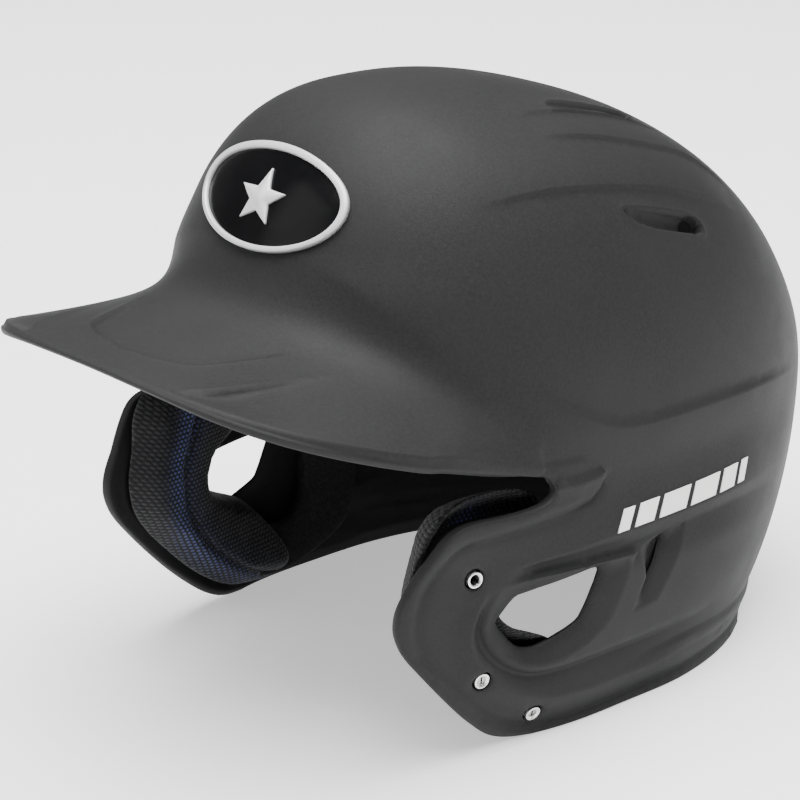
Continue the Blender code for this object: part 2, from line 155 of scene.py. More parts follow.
# The fabric layer on a jaw pad laps a little over the front of its liner block.
JAW_FABRIC = [(-22, 86), (-26, 94), (-37, 99), (-53, 100), (-64.5, 98), (-71.5, 89.5), (-75.5, 80.5),
              (-79, 70.5), (-80.8, 61), (-79.8, 52), (-77, 45.6), (-71, 36.6), (-63, 27.2), (-54.6, 17),
              (-45.7, 8.8), (-39, 4.4), (-32, 1.6), (-14, 0.6), (-4, 3), (-3, 12), (-8, 21), (-14, 28.5),
              (-20, 36.5), (-29, 41), (-38, 45.5), (-43.5, 51.5), (-43.5, 58), (-38, 65), (-30, 69.5),
              (-23, 76)]
JAW_LINER = [(-28, 88), (-48, 88.3), (-60, 87.8), (-65.5, 84), (-70, 78), (-75.4, 69), (-78.2, 61),
             (-77.4, 52.5), (-75, 46.6), (-69, 37.8), (-61.2, 28.6), (-52.4, 19.4), (-43.6, 11.4), (-37.2, 6.8),
             (-31, 3.4), (-14, 1.6), (2, 4), (16, 8), (28, 13), (35, 21), (39, 34), (39.5, 62), (36, 69),
             (20, 68.5), (15, 63), (12.5, 48), (11, 34), (6, 25.5), (-2, 21), (-9, 21.5), (-15, 25.5),
             (-23, 29), (-33, 31), (-44, 37), (-50, 47), (-49, 58), (-42, 66), (-33, 70), (-28, 76)]

# Slanted bars of the side stripe: where each starts and how wide it is, in millimetres.
STRIPE_BARS = [(5.0, 5.5), (13.5, 9.5), (26.0, 14.0), (43.0, 14.0), (60.0, 8.5), (71.5, 4.0)]
STRIPE_LOW, STRIPE_HIGH, STRIPE_SLANT = 73.0, 80.6, 4.5


def smooth(t):
    t = np.clip(t, 0, 1)
    return t * t * (3 - 2 * t)


def polar_radius(angle, side, ahead, behind, power):
    """Distance from the centre to a rounded outline, at an angle from straight ahead."""
    long_axis = np.where(np.cos(angle) > 0, ahead, behind)
    spread = np.abs(np.sin(angle)) / side
    length = np.abs(np.cos(angle)) / long_axis
    return (spread**power + length**power) ** (-1 / power)


def flap_reach(z):
    """How much further forward than the forehead a level section runs at a height of the ear flaps."""
    lower = FLAP_REACH * (1 - (1 - np.clip(z, 0, 0.055) / 0.055) ** 2.6)
    upper = FLAP_TOP_REACH * smooth((z - 0.072) / 0.022)
    return (FLAP_LOWEST_REACH + lower + upper) * smooth((0.126 - z) / 0.032)


def section(z):
    """Half axes and centre of the level section of the shell at a height."""
    up = np.clip((z - WIDEST_Z) / (CROWN_Z - WIDEST_Z), 0, 0.99999)
    down = np.clip((WIDEST_Z - z) / WIDEST_Z, 0, 1.2)
    long_scale = (1 - up**LONG_POWER) ** (1 / LONG_POWER)
    side_scale = (1 - up**SIDE_POWER) ** (1 / SIDE_POWER)
    side = HALF_WIDTH * side_scale - SIDE_TUCK * down**2.5
    brow = BROW_FULLNESS * smooth((0.180 - z) / 0.020) * smooth((z - 0.120) / 0.020)
    ahead = FRONT_REACH * long_scale + flap_reach(z) + brow
    lip = LIP_FLARE * smooth((LIP_HEIGHT - z) / LIP_HEIGHT)
    full = BACK_FULLNESS * smooth(1 - np.abs(z - 0.108) / 0.035)
    behind = BACK_REACH * long_scale - NAPE_TUCK * down**2 + lip + full
    return side, ahead, behind, CENTRE_Y + CROWN_SHIFT * up**2


def ear_bulge(angle, z):
    turn = np.degrees(np.abs(angle))
    around = smooth((turn - 48) / 28) * smooth((150 - turn) / 35)
    return EAR_BULGE * around * smooth(z / 0.046) * smooth((0.093 - z) / 0.030)


def wall(angle, z):
    """Point of the outer surface without the brim."""
    side, ahead, behind, centre = section(z)
    radius = polar_radius(angle, side, ahead, behind, PLAN_POWER) * (1 + ear_bulge(angle, z))
    return np.stack(np.broadcast_arrays(radius * np.sin(angle), centre - radius * np.cos(angle), z), -1)


def brim_edge(angle):
    share = angle / TEMPLE_ANGLE
    heading = 1.18 * angle + (math.pi / 2 - 1.18 * TEMPLE_ANGLE) * share**6
    depth = BRIM_END_Y - BRIM_TIP_Y
    radius = polar_radius(heading, BRIM_HALF_WIDTH, depth, depth, BRIM_POWER)
    x = radius * np.sin(heading)
    y = BRIM_END_Y - radius * np.cos(heading)
    z = BRIM_TIP_Z - BRIM_SLOPE * (y - BRIM_TIP_Y) - BRIM_DROP * (x / BRIM_HALF_WIDTH) ** 2
    free = np.stack([x, y, z], -1)
    blend = smooth((angle - TEMPLE_ANGLE + BRIM_END_BLEND) / BRIM_END_BLEND)[..., None]
    return free * (1 - blend) + wall(angle, np.full_like(angle, EDGE_LEVEL)) * blend


def surface(angle, level):
    """Point of the outer surface. Ahead of the temples, a level below the brow runs out along the brim."""
    angle, level = np.broadcast_arrays(np.asarray(angle, float), np.asarray(level, float))
    turned = np.clip(np.abs(angle), 0, TEMPLE_ANGLE)
    share = turned / TEMPLE_ANGLE
    corner_z = BROW_Z - (BROW_Z - TEMPLE_Z) * share**BROW_POWER
    start_z = corner_z + BRIM_FILLET + (TEMPLE_FILLET - BRIM_FILLET) * share**2.5
    t = np.clip((start_z - level) / (start_z - EDGE_LEVEL), 0, 1)[..., None]
    start, corner, edge = wall(turned, start_z), wall(turned, corner_z), brim_edge(turned)
    brim = (1 - t) ** 3 * start + 3 * t * (1 - t) * corner + t**3 * edge
    brim[..., 0] *= np.where(angle < 0, -1, 1)
    on_brim = (np.abs(angle) < TEMPLE_ANGLE) & (level < start_z) & (level >= EDGE_LEVEL - 0.0001)
    return np.where(on_brim[..., None], brim, wall(angle, level))


def normal(angle, level, shape=surface):
    angle, level = np.asarray(angle, float), np.asarray(level, float)
    step = 0.0004
    level = np.minimum(level, CROWN_Z - 2 * step)
    across = shape(angle + 0.004, level) - shape(angle - 0.004, level)
    rise = shape(angle, level + step) - shape(angle, level)
    found = np.cross(across, rise)
    return found / np.linalg.norm(found, axis=-1, keepdims=True)


def side_angle(y, z):
    """The angle at which the wearer's left side of the wall has this y."""
    side, ahead, behind, centre = section(z)
    angle = np.full_like(np.asarray(y, float), math.pi / 2)
    for _ in range(6):
        offset = (y - centre) / (1 + ear_bulge(angle, z))
        share = np.clip(np.abs(offset) / np.where(offset < 0, ahead, behind), 0, 1)
        angle = np.arctan2(side * (1 - share**PLAN_POWER) ** (1 / PLAN_POWER), -offset)
    return angle


def from_side(points):
    """(angle, level) pairs from (y, z) in millimetres."""
    points = np.array(points, float) * MM
    return np.stack([side_angle(points[:, 0], points[:, 1]), points[:, 1]], -1)


def from_degrees(points):
    points = np.array(points, float)
    return np.stack([np.radians(points[:, 0]), points[:, 1] * MM], -1)


def chart_radius():
    """Table of a flat chart of the shell: its radius grows with the way down from the crown."""
    levels = CROWN_Z - (CROWN_Z + 0.012) * np.linspace(0.01, 1, 600) ** 2
    track = wall(np.full_like(levels, math.pi / 2), levels)
    steps = np.linalg.norm(np.diff(track, axis=0), axis=1)
    side, ahead, behind, _ = section(levels)
    reach = (side + (FRONT_REACH + behind) / 2) / 2
    growth = np.concatenate([[0], np.cumsum(steps / reach[1:])])
    return levels, np.exp(growth) * 0.01


CHART_LEVELS, CHART_RADII = chart_radius()


def to_chart(points):
    radius = np.interp(-points[:, 1], -CHART_LEVELS, CHART_RADII)
    crown = points[:, 1] > CHART_LEVELS[0]
    radius = np.where(crown, 0, radius)
    return np.stack([radius * np.sin(points[:, 0]), -radius * np.cos(points[:, 0])], -1)


def inside(flat, loop):
    found = np.zeros(len(flat), bool)
    for (x1, y1), (x2, y2) in zip(loop, np.roll(loop, -1, axis=0)):
        crosses = (y1 > flat[:, 1]) != (y2 > flat[:, 1])
        height = np.where(y2 == y1, 1, y2 - y1)
        found ^= crosses & (flat[:, 0] < (x2 - x1) * (flat[:, 1] - y1) / height + x1)
    return found


def resampled(points, cell, closed=True):
    """An outline in (angle, level) with points added so that no side is much longer than a cell."""
    ends = np.roll(points, -1, axis=0) if closed else points[1:]
    result = []
    for start, end in zip(points, ends):
        length = np.linalg.norm(surface(*start) - surface(*end))
        count = max(1, round(length / cell))
        step = end - start
        step[0] = (step[0] + math.pi) % math.tau - math.pi
        for i in range(count):
            result.append(start + step * i / count)
    if not closed:
        result.append(points[-1])
    return np.array(result)


def grid_points(cell, shape):
    """Staggered points over the whole chart at an even spacing on the surface."""
    found = []
    reach = wall(np.full_like(CHART_LEVELS, math.pi / 2), CHART_LEVELS)
    way = np.concatenate([[0], np.cumsum(np.linalg.norm(np.diff(reach, axis=0), axis=1))])
    for ring in range(1, int(way[-1] / (0.87 * cell))):
        level = np.interp(ring * 0.87 * cell, way, CHART_LEVELS)
        angles = np.linspace(-math.pi, math.pi, 721)
        lengths = np.linalg.norm(np.diff(shape(angles, np.full_like(angles, level)), axis=0), axis=1)
        total = np.concatenate([[0], np.cumsum(lengths)])
        count = max(3, round(total[-1] / cell))
        places = (np.arange(count) + 0.5 * (ring % 2)) * total[-1] / count
        for angle in np.interp(places, total, angles):
            found.append((angle, level))
    return np.array(found)


# The CAD frame's origin is under its middle, and these curves count y from the ears.
SHIFT = Vector((0, CAD_BOUNDS[0][1] - BRIM_TIP_Y, 0))

FINE_CELL = 0.0022
HOLE_CELL = 0.0016
CLEAR_SHARE = 0.62
CHART_SCALE = 100
RIM_ROUND = 0.0012
RIM_RINGS = (0.00035, 0.0010)

# Border band round the opening: its inner line from the front of the brim, out to the point behind the temple,
# back and down the flap and along the rim to the rear, as (degrees, level in millimetres).
BRIM_BAND = [(0, 98.75), (7, 98.75), (13, 98.8), (20, 98.85), (25, 98.85), (30, 98.9), (38, 99.0), (45, 99.15),
             (50, 99.6), (55, 102.2), (58, 104.2), (62.7, 106.5), (70.2, 105.8), (75.7, 104.6), (78.9, 101.8),
             (82.6, 96.6)]
FLAP_BAND = [(82.6, 96.6), (80.5, 90.6), (78, 88), (73.5, 87), (67.5, 86.7), (62, 86.2), (56, 86.2), (52, 86.2),
             (49.5, 84.5), (47.6, 80.5), (44.9, 73.2), (43.5, 65.7), (43.1, 56.8), (43.6, 49.2), (45.1, 42.4),
             (48.1, 33.5), (51.9, 22.5), (56.4, 12.8), (61, 7.6), (66, 5.0), (72, 4.0), (80.3, 3.6),
             (91.7, 3.9), (103.9, 4.5), (117.3, 5.0), (132.8, 4.6), (150, 5.2), (180, 6.4)]
BAND_FOLD = [(66.2, 97.6), (68.7, 96.7), (73.6, 95.6), (78, 95.6), (82.6, 96.6)]
BAND_HEIGHT = 0.0014
# How far the brim's top stands above its edge line, in millimetres, at headings in degrees.
BRIM_STEP_TURNS = [0, 7, 20, 30, 38, 45, 53, 60, 70, 84]
BRIM_STEP = [0.3, 0.4, 1.0, 1.7, 2.2, 2.6, 2.6, 2.0, 1.2, 0.7]
GROOVE_DEPTH = 0.0007
FOLD_HEIGHT = 0.0006
RECESS_DEPTH = 0.0034
TERRACE_DEPTH = 0.0026
TERRACE_RISE = 0.0014
CHAMFER_DEPTH = 0.0024
PANEL_DEPTH = 0.0017
WEDGE_DEPTH = 0.0027
STEP_WIDTH = 0.0014
LIP_RISE = 0.0014

# Outlines and lines on the side, as (y, z) in millimetres.
FUNNEL = [(-46.5, 65.6), (-34, 66.4), (-10, 65), (15.4, 63.2), (11, 56.5), (7.8, 50.2), (4.8, 44), (1.5, 39),
          (-7, 33.8), (-18, 30.6), (-28, 30.4), (-36.5, 33), (-44.5, 38.6), (-50.5, 46), (-52.3, 51),
          (-50.8, 57)]
FUNNEL_DEPTH = 0.0042
TERRACE_VALLEY = [(-48.6, 66), (-52.8, 58), (-54.4, 51.5), (-53, 45.5), (-49, 38.8), (-42.2, 32.2), (-34, 27.4),
                  (-25.2, 25), (-16.5, 24.5), (0, 24.3), (24.7, 24), (48, 25), (70, 27)]
TERRACE_RIDGE = [(-49.6, 68), (-55.2, 59.5), (-58.2, 51.5), (-57, 43.5), (-52, 34.8), (-43.4, 27),
                 (-32.6, 20.6), (-20.9, 16), (-5.8, 14.1), (15, 13.7), (41.4, 13.7), (76.7, 12)]
SLOT_RECESS = [(17.5, 63.6), (30, 66.2), (42.6, 67.4), (38, 58.5), (34.4, 52.6), (29.5, 45.5), (26.5, 40.6),
               (13.6, 39.6), (15.6, 44), (19.5, 52)]
LONG_CREASE = [(-46, 68.2), (-36.7, 70.2), (-16.3, 69.4), (4.4, 68.1), (25.3, 67.3), (43.6, 67.0), (63.7, 67.0),
               (87.4, 65.2), (110, 63)]
LONG_CREASE_UPPER = [(-44, 71.5), (-4, 72.2), (48, 71.9), (76.7, 71.4), (110, 69.5)]
# Lines higher up, as (degrees, level in millimetres).
CHEVRON = [(58, 136), (61.7, 132.3), (69.9, 125.2), (77.5, 118.4), (82.5, 114.0), (87, 111.4), (92.8, 109.7),
           (105, 108.9), (117.4, 108.1), (130.7, 106), (141, 102.9), (152, 99)]
SIDE_ARC = [(62, 192), (73.6, 193.4), (82.3, 193.5), (93.1, 193), (107.5, 190.8), (119.2, 187.2),
            (126.4, 183.9), (133.5, 178.9), (140.3, 172.9), (146, 164)]
CROWN_ARC = [(101.7, 208.9), (120.3, 205.4), (132.5, 200.4), (143, 192.8), (148.6, 187.5), (152.6, 176.2),
             (151.2, 165)]
CROWN_LINE = [(102.2, 214.7), (120.3, 213.4), (133, 210.8), (144.3, 205.4), (151.7, 199.7), (156, 192)]
SIDE_DISH = [(108.4, 183.4), (117.7, 180.2), (128.4, 173.6), (129.4, 169.6), (128.2, 165.8), (126, 166.2),
             (124.0, 168.0), (111.3, 175.2), (108.3, 181)]
SIDE_DISH_HOLE = [(124.4, 169.6), (127.6, 167.2), (128.9, 170.0), (128.0, 172.8), (125.6, 172.2)]
TOP_DISH = [(125, 212.9), (133, 214.6), (142.8, 212.1), (151.9, 204.8), (151.2, 200.2), (142, 207.2),
            (134, 210.2)]
BRIM_VEE = [(0, 105.2), (5.2, 105.8), (10.5, 107), (14, 108.4), (16.5, 112.3), (19.5, 118.7), (22.9, 125.5),
            (24.5, 133)]
BRIM_WEDGE = [(17.4, 99.6), (20.0, 101.6), (21.9, 104.2), (24.5, 109), (27.3, 114.3), (30.7, 120.1),
              (33.5, 125)]
REAR_LIP = [(88, 17), (97, 18), (105, 19.2), (113, 19.3), (130, 16.5), (150, 15.5), (180, 16.5)]


def from_chart(flat):
    level = np.interp(np.hypot(flat[:, 0], flat[:, 1]), CHART_RADII, CHART_LEVELS)
    return np.stack([np.arctan2(flat[:, 0], -flat[:, 1]), level], -1)


def cut_corners(points, times=2, closed=True):
    """Chaikin's corner cutting."""
    points = np.asarray(points, float)
    for _ in range(times):
        ahead = np.roll(points, -1, axis=0) if closed else points[1:]
        here = points if closed else points[:-1]
        both = np.stack([here * 0.75 + ahead * 0.25, here * 0.25 + ahead * 0.75], 1).reshape(-1, points.shape[1])
        points = both if closed else np.concatenate([points[:1], both[1:-1], points[-1:]])
    return points


def nearest(tree_points, points):
    tree = kdtree.KDTree(len(tree_points))
    for i, place in enumerate(tree_points):
        tree.insert(place, i)
    tree.balance()
    return np.array([tree.find(place)[2] for place in points])


def dense(loop, closed=True, shape=surface):
    """Points every 0.3 mm along an outline."""
    found = resampled(loop, 0.0003, closed)
    return shape(found[:, 0], found[:, 1])


def inset(loop, distance, into_hole, shape):
    """A loop moved into the material by a real distance."""
    flat = to_chart(loop)
    along = np.roll(flat, -1, axis=0) - np.roll(flat, 1, axis=0)
    across = np.stack([-along[:, 1], along[:, 0]], -1)
    across /= np.linalg.norm(across, axis=1, keepdims=True)
    area = np.sum(flat[:, 0] * np.roll(flat[:, 1], -1) - flat[:, 1] * np.roll(flat[:, 0], -1))
    if (area > 0) == into_hole:
        across = -across
    step = 0.0002
    beside = from_chart(flat + across * step)
    scale = np.linalg.norm(shape(beside[:, 0], beside[:, 1]) - shape(loop[:, 0], loop[:, 1]), axis=1) / step
    return from_chart(flat + across * (distance / np.clip(scale, 0.2, 5))[:, None])


def fine_sheet(outline, holes, cell, shape, lines=(), rings=()):
    """(flat, angle and level, faces, rim edges, distance to the rim) of a fine triangulated area of the chart."""
    loops = [resampled(outline, cell)] + [resampled(hole, min(cell, HOLE_CELL)) for hole in holes]
    flats = [to_chart(loop) for loop in loops]

    def in_area(points):
        found = inside(points, flats[0])
        for hole in flats[1:]:
            found &= ~inside(points, hole)
        return found

    chains = [(flat, True) for flat in flats]
    for place, loop in enumerate(loops):
        chains += [(to_chart(inset(loop, ring, place > 0, shape)), True) for ring in rings]
    for line in lines:
        flat = to_chart(resampled(line, cell, closed=False))
        keep = in_area(flat)
        runs = np.split(np.arange(len(flat)), np.where(np.diff(keep.astype(int)) != 0)[0] + 1)
        chains += [(flat[run], False) for run in runs if keep[run[0]] and len(run) > 2]
    fixed = np.concatenate([chain for chain, _ in chains])
    fixed_at = from_chart(fixed)
    candidates = grid_points(cell, shape)
    flat = to_chart(candidates)
    keep = in_area(flat)
    candidates, flat = candidates[keep], flat[keep]
    gap = nearest(shape(fixed_at[:, 0], fixed_at[:, 1]), shape(candidates[:, 0], candidates[:, 1]))
    points = np.concatenate([fixed, flat[gap > CLEAR_SHARE * cell]])
    edges, start = [], 0
    for chain, closed in chains:
        count = len(chain)
        edges += [(start + i, start + (i + 1) % count) for i in range(count if closed else count - 1)]
        start += count
    made = delaunay_2d_cdt([Vector(p) for p in points * CHART_SCALE], edges, [], 0, 1e-6)
    corners = np.array([tuple(v) for v in made[0]]) / CHART_SCALE
    faces = np.array(made[2])
    faces = faces[in_area(corners[faces].mean(axis=1))]
    used, back = np.unique(faces, return_inverse=True)
    corners, faces = corners[used], back.reshape(faces.shape)
    places = from_chart(corners)
    # The shape turns sharply at the level of the brim's edge, so a rim point there keeps that level exactly.
    places[np.abs(places[:, 1] - EDGE_LEVEL) < 2e-6, 1] = EDGE_LEVEL
    sides = np.concatenate([faces[:, [0, 1]], faces[:, [1, 2]], faces[:, [2, 0]]])
    _, index, uses = np.unique(np.sort(sides, axis=1), axis=0, return_index=True, return_counts=True)
    rim_points = np.concatenate([dense(loop, shape=shape) for loop in loops])
    return corners, places, faces, sides[index[uses == 1]], nearest(rim_points, shape(places[:, 0], places[:, 1]))


def linked(name, data):
    piece = bpy.data.objects.new(name, data)
    bpy.context.scene.collection.objects.link(piece)
    return piece


def from_working(name, mesh):
    """A linked, smoothly shaded piece from a working mesh."""
    bmesh.ops.recalc_face_normals(mesh, faces=mesh.faces)
    data = bpy.data.meshes.new(name)
    mesh.to_mesh(data)
    mesh.free()
    data.shade_smooth()
    return linked(name, data)


def link_mesh(name, vertices, faces):
    plain = bpy.data.meshes.new(name)
    plain.from_pydata([tuple(v) for v in vertices], [], [tuple(int(i) for i in f) for f in faces])
    mesh = bmesh.new()
    mesh.from_mesh(plain)
    bpy.data.meshes.remove(plain)
    return from_working(name, mesh)


def closed_solid(name, first, second, faces, rim, side=1):
    """Two layers of the same triangles, joined round the rim."""
    count = len(first)
    vertices = np.concatenate([first, second])
    vertices[:, 0] *= side
    solid = [tuple(f) for f in faces] + [tuple(f[::-1] + count) for f in faces]
    return link_mesh(name, vertices, solid + [(a, a + count, b + count, b) for a, b in rim])


def slab(name, outline, cell, first, second, shape=wall, side=1, holes=(), lines=(), rings=()):
    """A closed piece on the shell whose two layers stand off by functions of the distance to the rim."""
    _, places, faces, rim, gap = fine_sheet(outline, holes, cell, shape, lines, rings)
    base = shape(places[:, 0], places[:, 1])
    outward = normal(places[:, 0], places[:, 1], shape)
    layers = [base + outward * np.broadcast_to(lift(gap), gap.shape)[:, None] for lift in (first, second)]
    return closed_solid(name, *layers, faces, rim, side)


def segments(places, ends):
    """For each straight piece of a line: its number, and each point's share of the way along it and distance to it."""
    for i in range(len(ends) - 1):
        step = ends[i + 1] - ends[i]
        t = np.clip((places - ends[i]) @ step / (step @ step), 0, 1)
        yield i, t, np.linalg.norm(places - ends[i] - t[:, None] * step, axis=1)


def line_field(places, flat, line):
    """Each point's distance to a line, its side (1 is the crown's on a line that runs back) and its share of the way."""
    knots = resampled(line, 0.004, closed=False)
    ends, chart = surface(knots[:, 0], knots[:, 1]), to_chart(knots)
    lengths = np.linalg.norm(np.diff(ends, axis=0), axis=1)
    way = np.concatenate([[0], np.cumsum(lengths)]) / lengths.sum()
    best, side, share = np.full(len(places), FAR), np.ones(len(places)), np.zeros(len(places))
    for i, t, gap in segments(places, ends):
        turn = chart[i + 1] - chart[i]
        cross = turn[0] * (flat[:, 1] - chart[i, 1]) - turn[1] * (flat[:, 0] - chart[i, 0])
        closer = gap < best - 1e-7
        best = np.where(closer, gap, best)
        side = np.where(closer, np.where(cross > 0, 1, -1), side)
        share = np.where(closer, way[i] + t * (way[i + 1] - way[i]), share)
    return best, side, share


def ends_fade(share, start, end):
    shown = smooth(share / start) if start else np.ones_like(share)
    return shown * smooth((1 - share) / end) if end else shown


def ridge(gap, reach):
    return np.clip(1 - gap / reach, 0, 1) ** 2


def fall(gap, reach):
    """1 on a line, 0 past its reach: a straight wall when that is short, a soft shoulder when it is long."""
    share = np.clip(gap / reach, 0, 1)
    return 1 - (share if reach < 0.004 else smooth(share))


def between(near_gap, far_gap):
    """0 on the first of two lines, 1 on the second."""
    return near_gap / (near_gap + far_gap + 1e-9)


def drop(gap, sunk, crest, crest_reach, depth, reach):
    """A low crest along a line and, on its sunk side, a step that fades out."""
    step = depth * smooth(gap / STEP_WIDTH) * (1 - smooth(gap / reach))
    return crest * ridge(gap, crest_reach) - np.where(sunk, step, 0)


def one_side(points):
    """The same points, with those on the wearer's right moved over to the left."""
    return np.concatenate([np.abs(points[:, :1]), points[:, 1:]], axis=1)


def shell_relief(angle, level, flat, places):
    """Height of the moulded detail over the smooth outer surface, in metres, the same on both sides."""
    flat, near = one_side(flat), one_side(places)
    turn = np.degrees(np.abs(angle))
    on_brim = (turn < 66) & (level >= EDGE_LEVEL - 0.0001)

    def field(line):
        return line_field(near, flat, line)

    def gap_to(loop):
        return field(wide_ring(loop))[0]

    def within(loop):
        return inside(flat, to_chart(loop))

    # The band on the brim's edge: the top stands above the edge line, so that the band is a steep facet.
    edge_gap, side, share = field(BRIM_BAND_LINE)
    outside = np.interp(turn, [0, 45, 55, 62], [0.0012, 0.0014, 0.0030, 0.0080])
    inward_reach = np.interp(turn, [0, 40, 60, 84], [0.055, 0.050, 0.020, 0.004])
    upper = np.where(side > 0, 1 - smooth(edge_gap / inward_reach), np.clip(1 - edge_gap / outside, 0, 1))
    height = np.where(on_brim, np.interp(turn, BRIM_STEP_TURNS, np.array(BRIM_STEP) * MM) * upper, 0)
    # Crisp little groove above the crease, and the wedge-shaped band behind it.
    groove = GROOVE_DEPTH * ridge(np.abs(edge_gap - 0.0016), 0.0014)
    height -= np.where(on_brim & (side > 0), groove, 0) * smooth((turn - 4) / 8)
    temple = (side < 0) & (turn >= 47) & (turn < 90) & (level > 0.086) & (places[:, 2] < 0.125)
    behind = GROOVE_DEPTH * smooth(edge_gap / 0.0012) * ends_fade(share, 0, 0.06)
    height += np.where(temple, behind, 0) * smooth((turn - 47) / 10)
    gap, side, _ = field(FLAP_BAND_LINE)
    banded = (side < 0) & (((level < EDGE_LEVEL - 0.0002) & (turn < 84)) | (level < 0.012))
    height += np.where(banded, BAND_HEIGHT * smooth(gap / np.interp(level, [0.080, 0.088], [0.0024, 0.0010])), 0)
    height -= FOLD_HEIGHT * ridge(gap, 0.0036) * (level < 0.094)
    gap, _, share = field(BAND_FOLD_LINE)
    height += FOLD_HEIGHT * ridge(gap, 0.004) * (level < 0.105) * ends_fade(share, 0.1, 0.1)
    # The ear hole's funnel and the recess round the rear slot, deepest at the hole.
    in_funnel = within(FUNNEL_LOOP) & (level < EDGE_LEVEL)
    for hole, edge, area, depth in ((EAR_LOOP, FUNNEL_LOOP, in_funnel, FUNNEL_DEPTH),
                                    (SLOT_LOOP, RECESS_LOOP, within(RECESS_LOOP), RECESS_DEPTH)):
        height -= np.where(area, depth * between(gap_to(edge), gap_to(hole)), 0)
    # The terrace round the funnel, from its valley out to its crest.
    valley, valley_side, along = field(VALLEY_LINE)
    crest, crest_side, _ = field(TERRACE_LINE)
    share = between(valley, crest)
    slope = TERRACE_RISE * share - TERRACE_DEPTH * (1 - share)
    terrace = np.where((valley_side < 0) & (crest_side > 0) & (level < 0.072), slope, 0)
    terrace -= np.where((valley_side > 0) & (level < 0.072), TERRACE_DEPTH * ridge(valley, 0.0050), 0)
    terrace += np.where((crest_side < 0) & (level < 0.075), TERRACE_RISE * (1 - smooth(crest / 0.009)), 0)
    height += terrace * ends_fade(along, 0.10, 0.42)
    # The long crease over the ear: a chamfer between two lines.
    lower, lower_side, along = field(LONG_LINE)
    upper, upper_side, _ = field(LONG_UPPER_LINE)
    chamfer = np.where((lower_side > 0) & (upper_side < 0) & (np.abs(level - 0.069) < 0.012), between(upper, lower), 0)
    chamfer += np.where((lower_side < 0) & (lower < 0.016) & ~in_funnel, 1 - smooth(lower / 0.013), 0)
    height -= CHAMFER_DEPTH * chamfer * ends_fade(along, 0.12, 0.35) * smooth((turn - 52) / 8)
    # Soft ridges over the side and the crown.
    for line, tall, above, under, start, end in RIDGES:
        gap, side, share = field(line)
        height += tall * np.where(side > 0, fall(gap, above), fall(gap, under)) * ends_fade(share, start, end)
    # Recessed vents.
    for loop, upper, lower, deepest, shallow, (first, last) in DISHES:
        gap = gap_to(loop)
        rear = shallow + (1 - shallow) * smooth((turn - first) / (last - first))
        slope = 0.40 + 0.60 * between(field(upper)[0], field(lower)[0])
        height -= np.where(within(loop), deepest * rear * slope * smooth(gap / 0.0012), 0)
        height += 0.0005 * ridge(gap, 0.003)
    # Centre panel of the brim and the wedge beside it.
    gap, side, share = field(VEE_LINE)
    panel = drop(gap, side > 0, 0.0005, 0.004, PANEL_DEPTH, 0.028) * ends_fade(share, 0, 0.35)
    height += np.where(on_brim, panel, 0) * smooth((0.150 - level) / 0.03)
    gap, side, share = field(WEDGE_LINE)
    wedge = drop(gap, side < 0, 0.0006, 0.005, WEDGE_DEPTH, 0.034) * ends_fade(share, 0.12, 0.75)
    height += np.where(on_brim & (turn > 12), wedge, 0) * smooth((turn - 14) / 4) * smooth((edge_gap - 0.001) / 0.006)
    # The rim's lip at the back.
    gap, side, share = field(LIP_LINE)
    height += np.where(side < 0, LIP_RISE * smooth(gap / 0.0016), 0) * ends_fade(share, 0.22, 0)
    height -= 0.0005 * ridge(np.abs(gap - 0.0065), 0.0016) * (side < 0) * ends_fade(share, 0.35, 0)
    return height


def wide_ring(loop):
    return np.concatenate([loop, loop[:1]])


def rounded(points, times=2):
    return cut_corners(points, times, closed=False)


EAR_LOOP = cut_corners(from_side(EAR_HOLE), 1)
SLOT_LOOP = cut_corners(from_side(REAR_SLOT), 1)
SIDE_VENT_LOOP = cut_corners(from_degrees(SIDE_DISH_HOLE), 1)
TOP_VENT_LOOP = cut_corners(from_degrees(TOP_VENT), 1)
FUNNEL_LOOP = from_side(FUNNEL)
RECESS_LOOP = from_side(SLOT_RECESS)
SIDE_DISH_LOOP = cut_corners(from_degrees(SIDE_DISH), 1)
TOP_DISH_LOOP = cut_corners(from_degrees(TOP_DISH), 1)
# Recessed vents: outline, upper edge, lower edge, depth, the front's share of it, and where it deepens, in degrees.
DISHES = [(SIDE_DISH_LOOP, from_degrees(SIDE_DISH[:3]), from_degrees(SIDE_DISH[4:8]), 0.0058, 0.45, (108, 127)),
          (TOP_DISH_LOOP, from_degrees(TOP_DISH[:4]), from_degrees(TOP_DISH[4:]), 0.0034, 0.5, (125, 140))]
BRIM_BAND_LINE = from_degrees(BRIM_BAND)
FLAP_BAND_LINE = np.concatenate([from_degrees(FLAP_BAND[:6]), rounded(from_degrees(FLAP_BAND[5:]))[1:]])
BAND_FOLD_LINE = from_degrees(BAND_FOLD)
VALLEY_LINE = rounded(from_side(TERRACE_VALLEY))
TERRACE_LINE = rounded(from_side(TERRACE_RIDGE))
LONG_LINE = rounded(from_side(LONG_CREASE))
LONG_UPPER_LINE = rounded(from_side(LONG_CREASE_UPPER))
VEE_LINE = rounded(from_degrees(BRIM_VEE), 1)
WEDGE_LINE = rounded(from_degrees(BRIM_WEDGE), 1)
LIP_LINE = rounded(from_degrees(REAR_LIP))
# Each ridge: its line, height, reach on the crown's side and below, and the shares of it over which its ends fade.
RIDGES = [(rounded(from_degrees(CHEVRON)), 0.0014, 0.0022, 0.018, 0.12, 0.35),
          (rounded(from_degrees(SIDE_ARC)), 0.0011, 0.022, 0.0011, 0.25, 0.2),
          (rounded(from_degrees(CROWN_ARC)), 0.0010, 0.018, 0.0011, 0.2, 0.3),
          (rounded(from_degrees(CROWN_LINE)), 0.0009, 0.016, 0.0011, 0.2, 0.3)]


CREASE_SIDE = 0.0010
THIN_FRONT = 0.0012
BRIM_ROUND = 0.0006
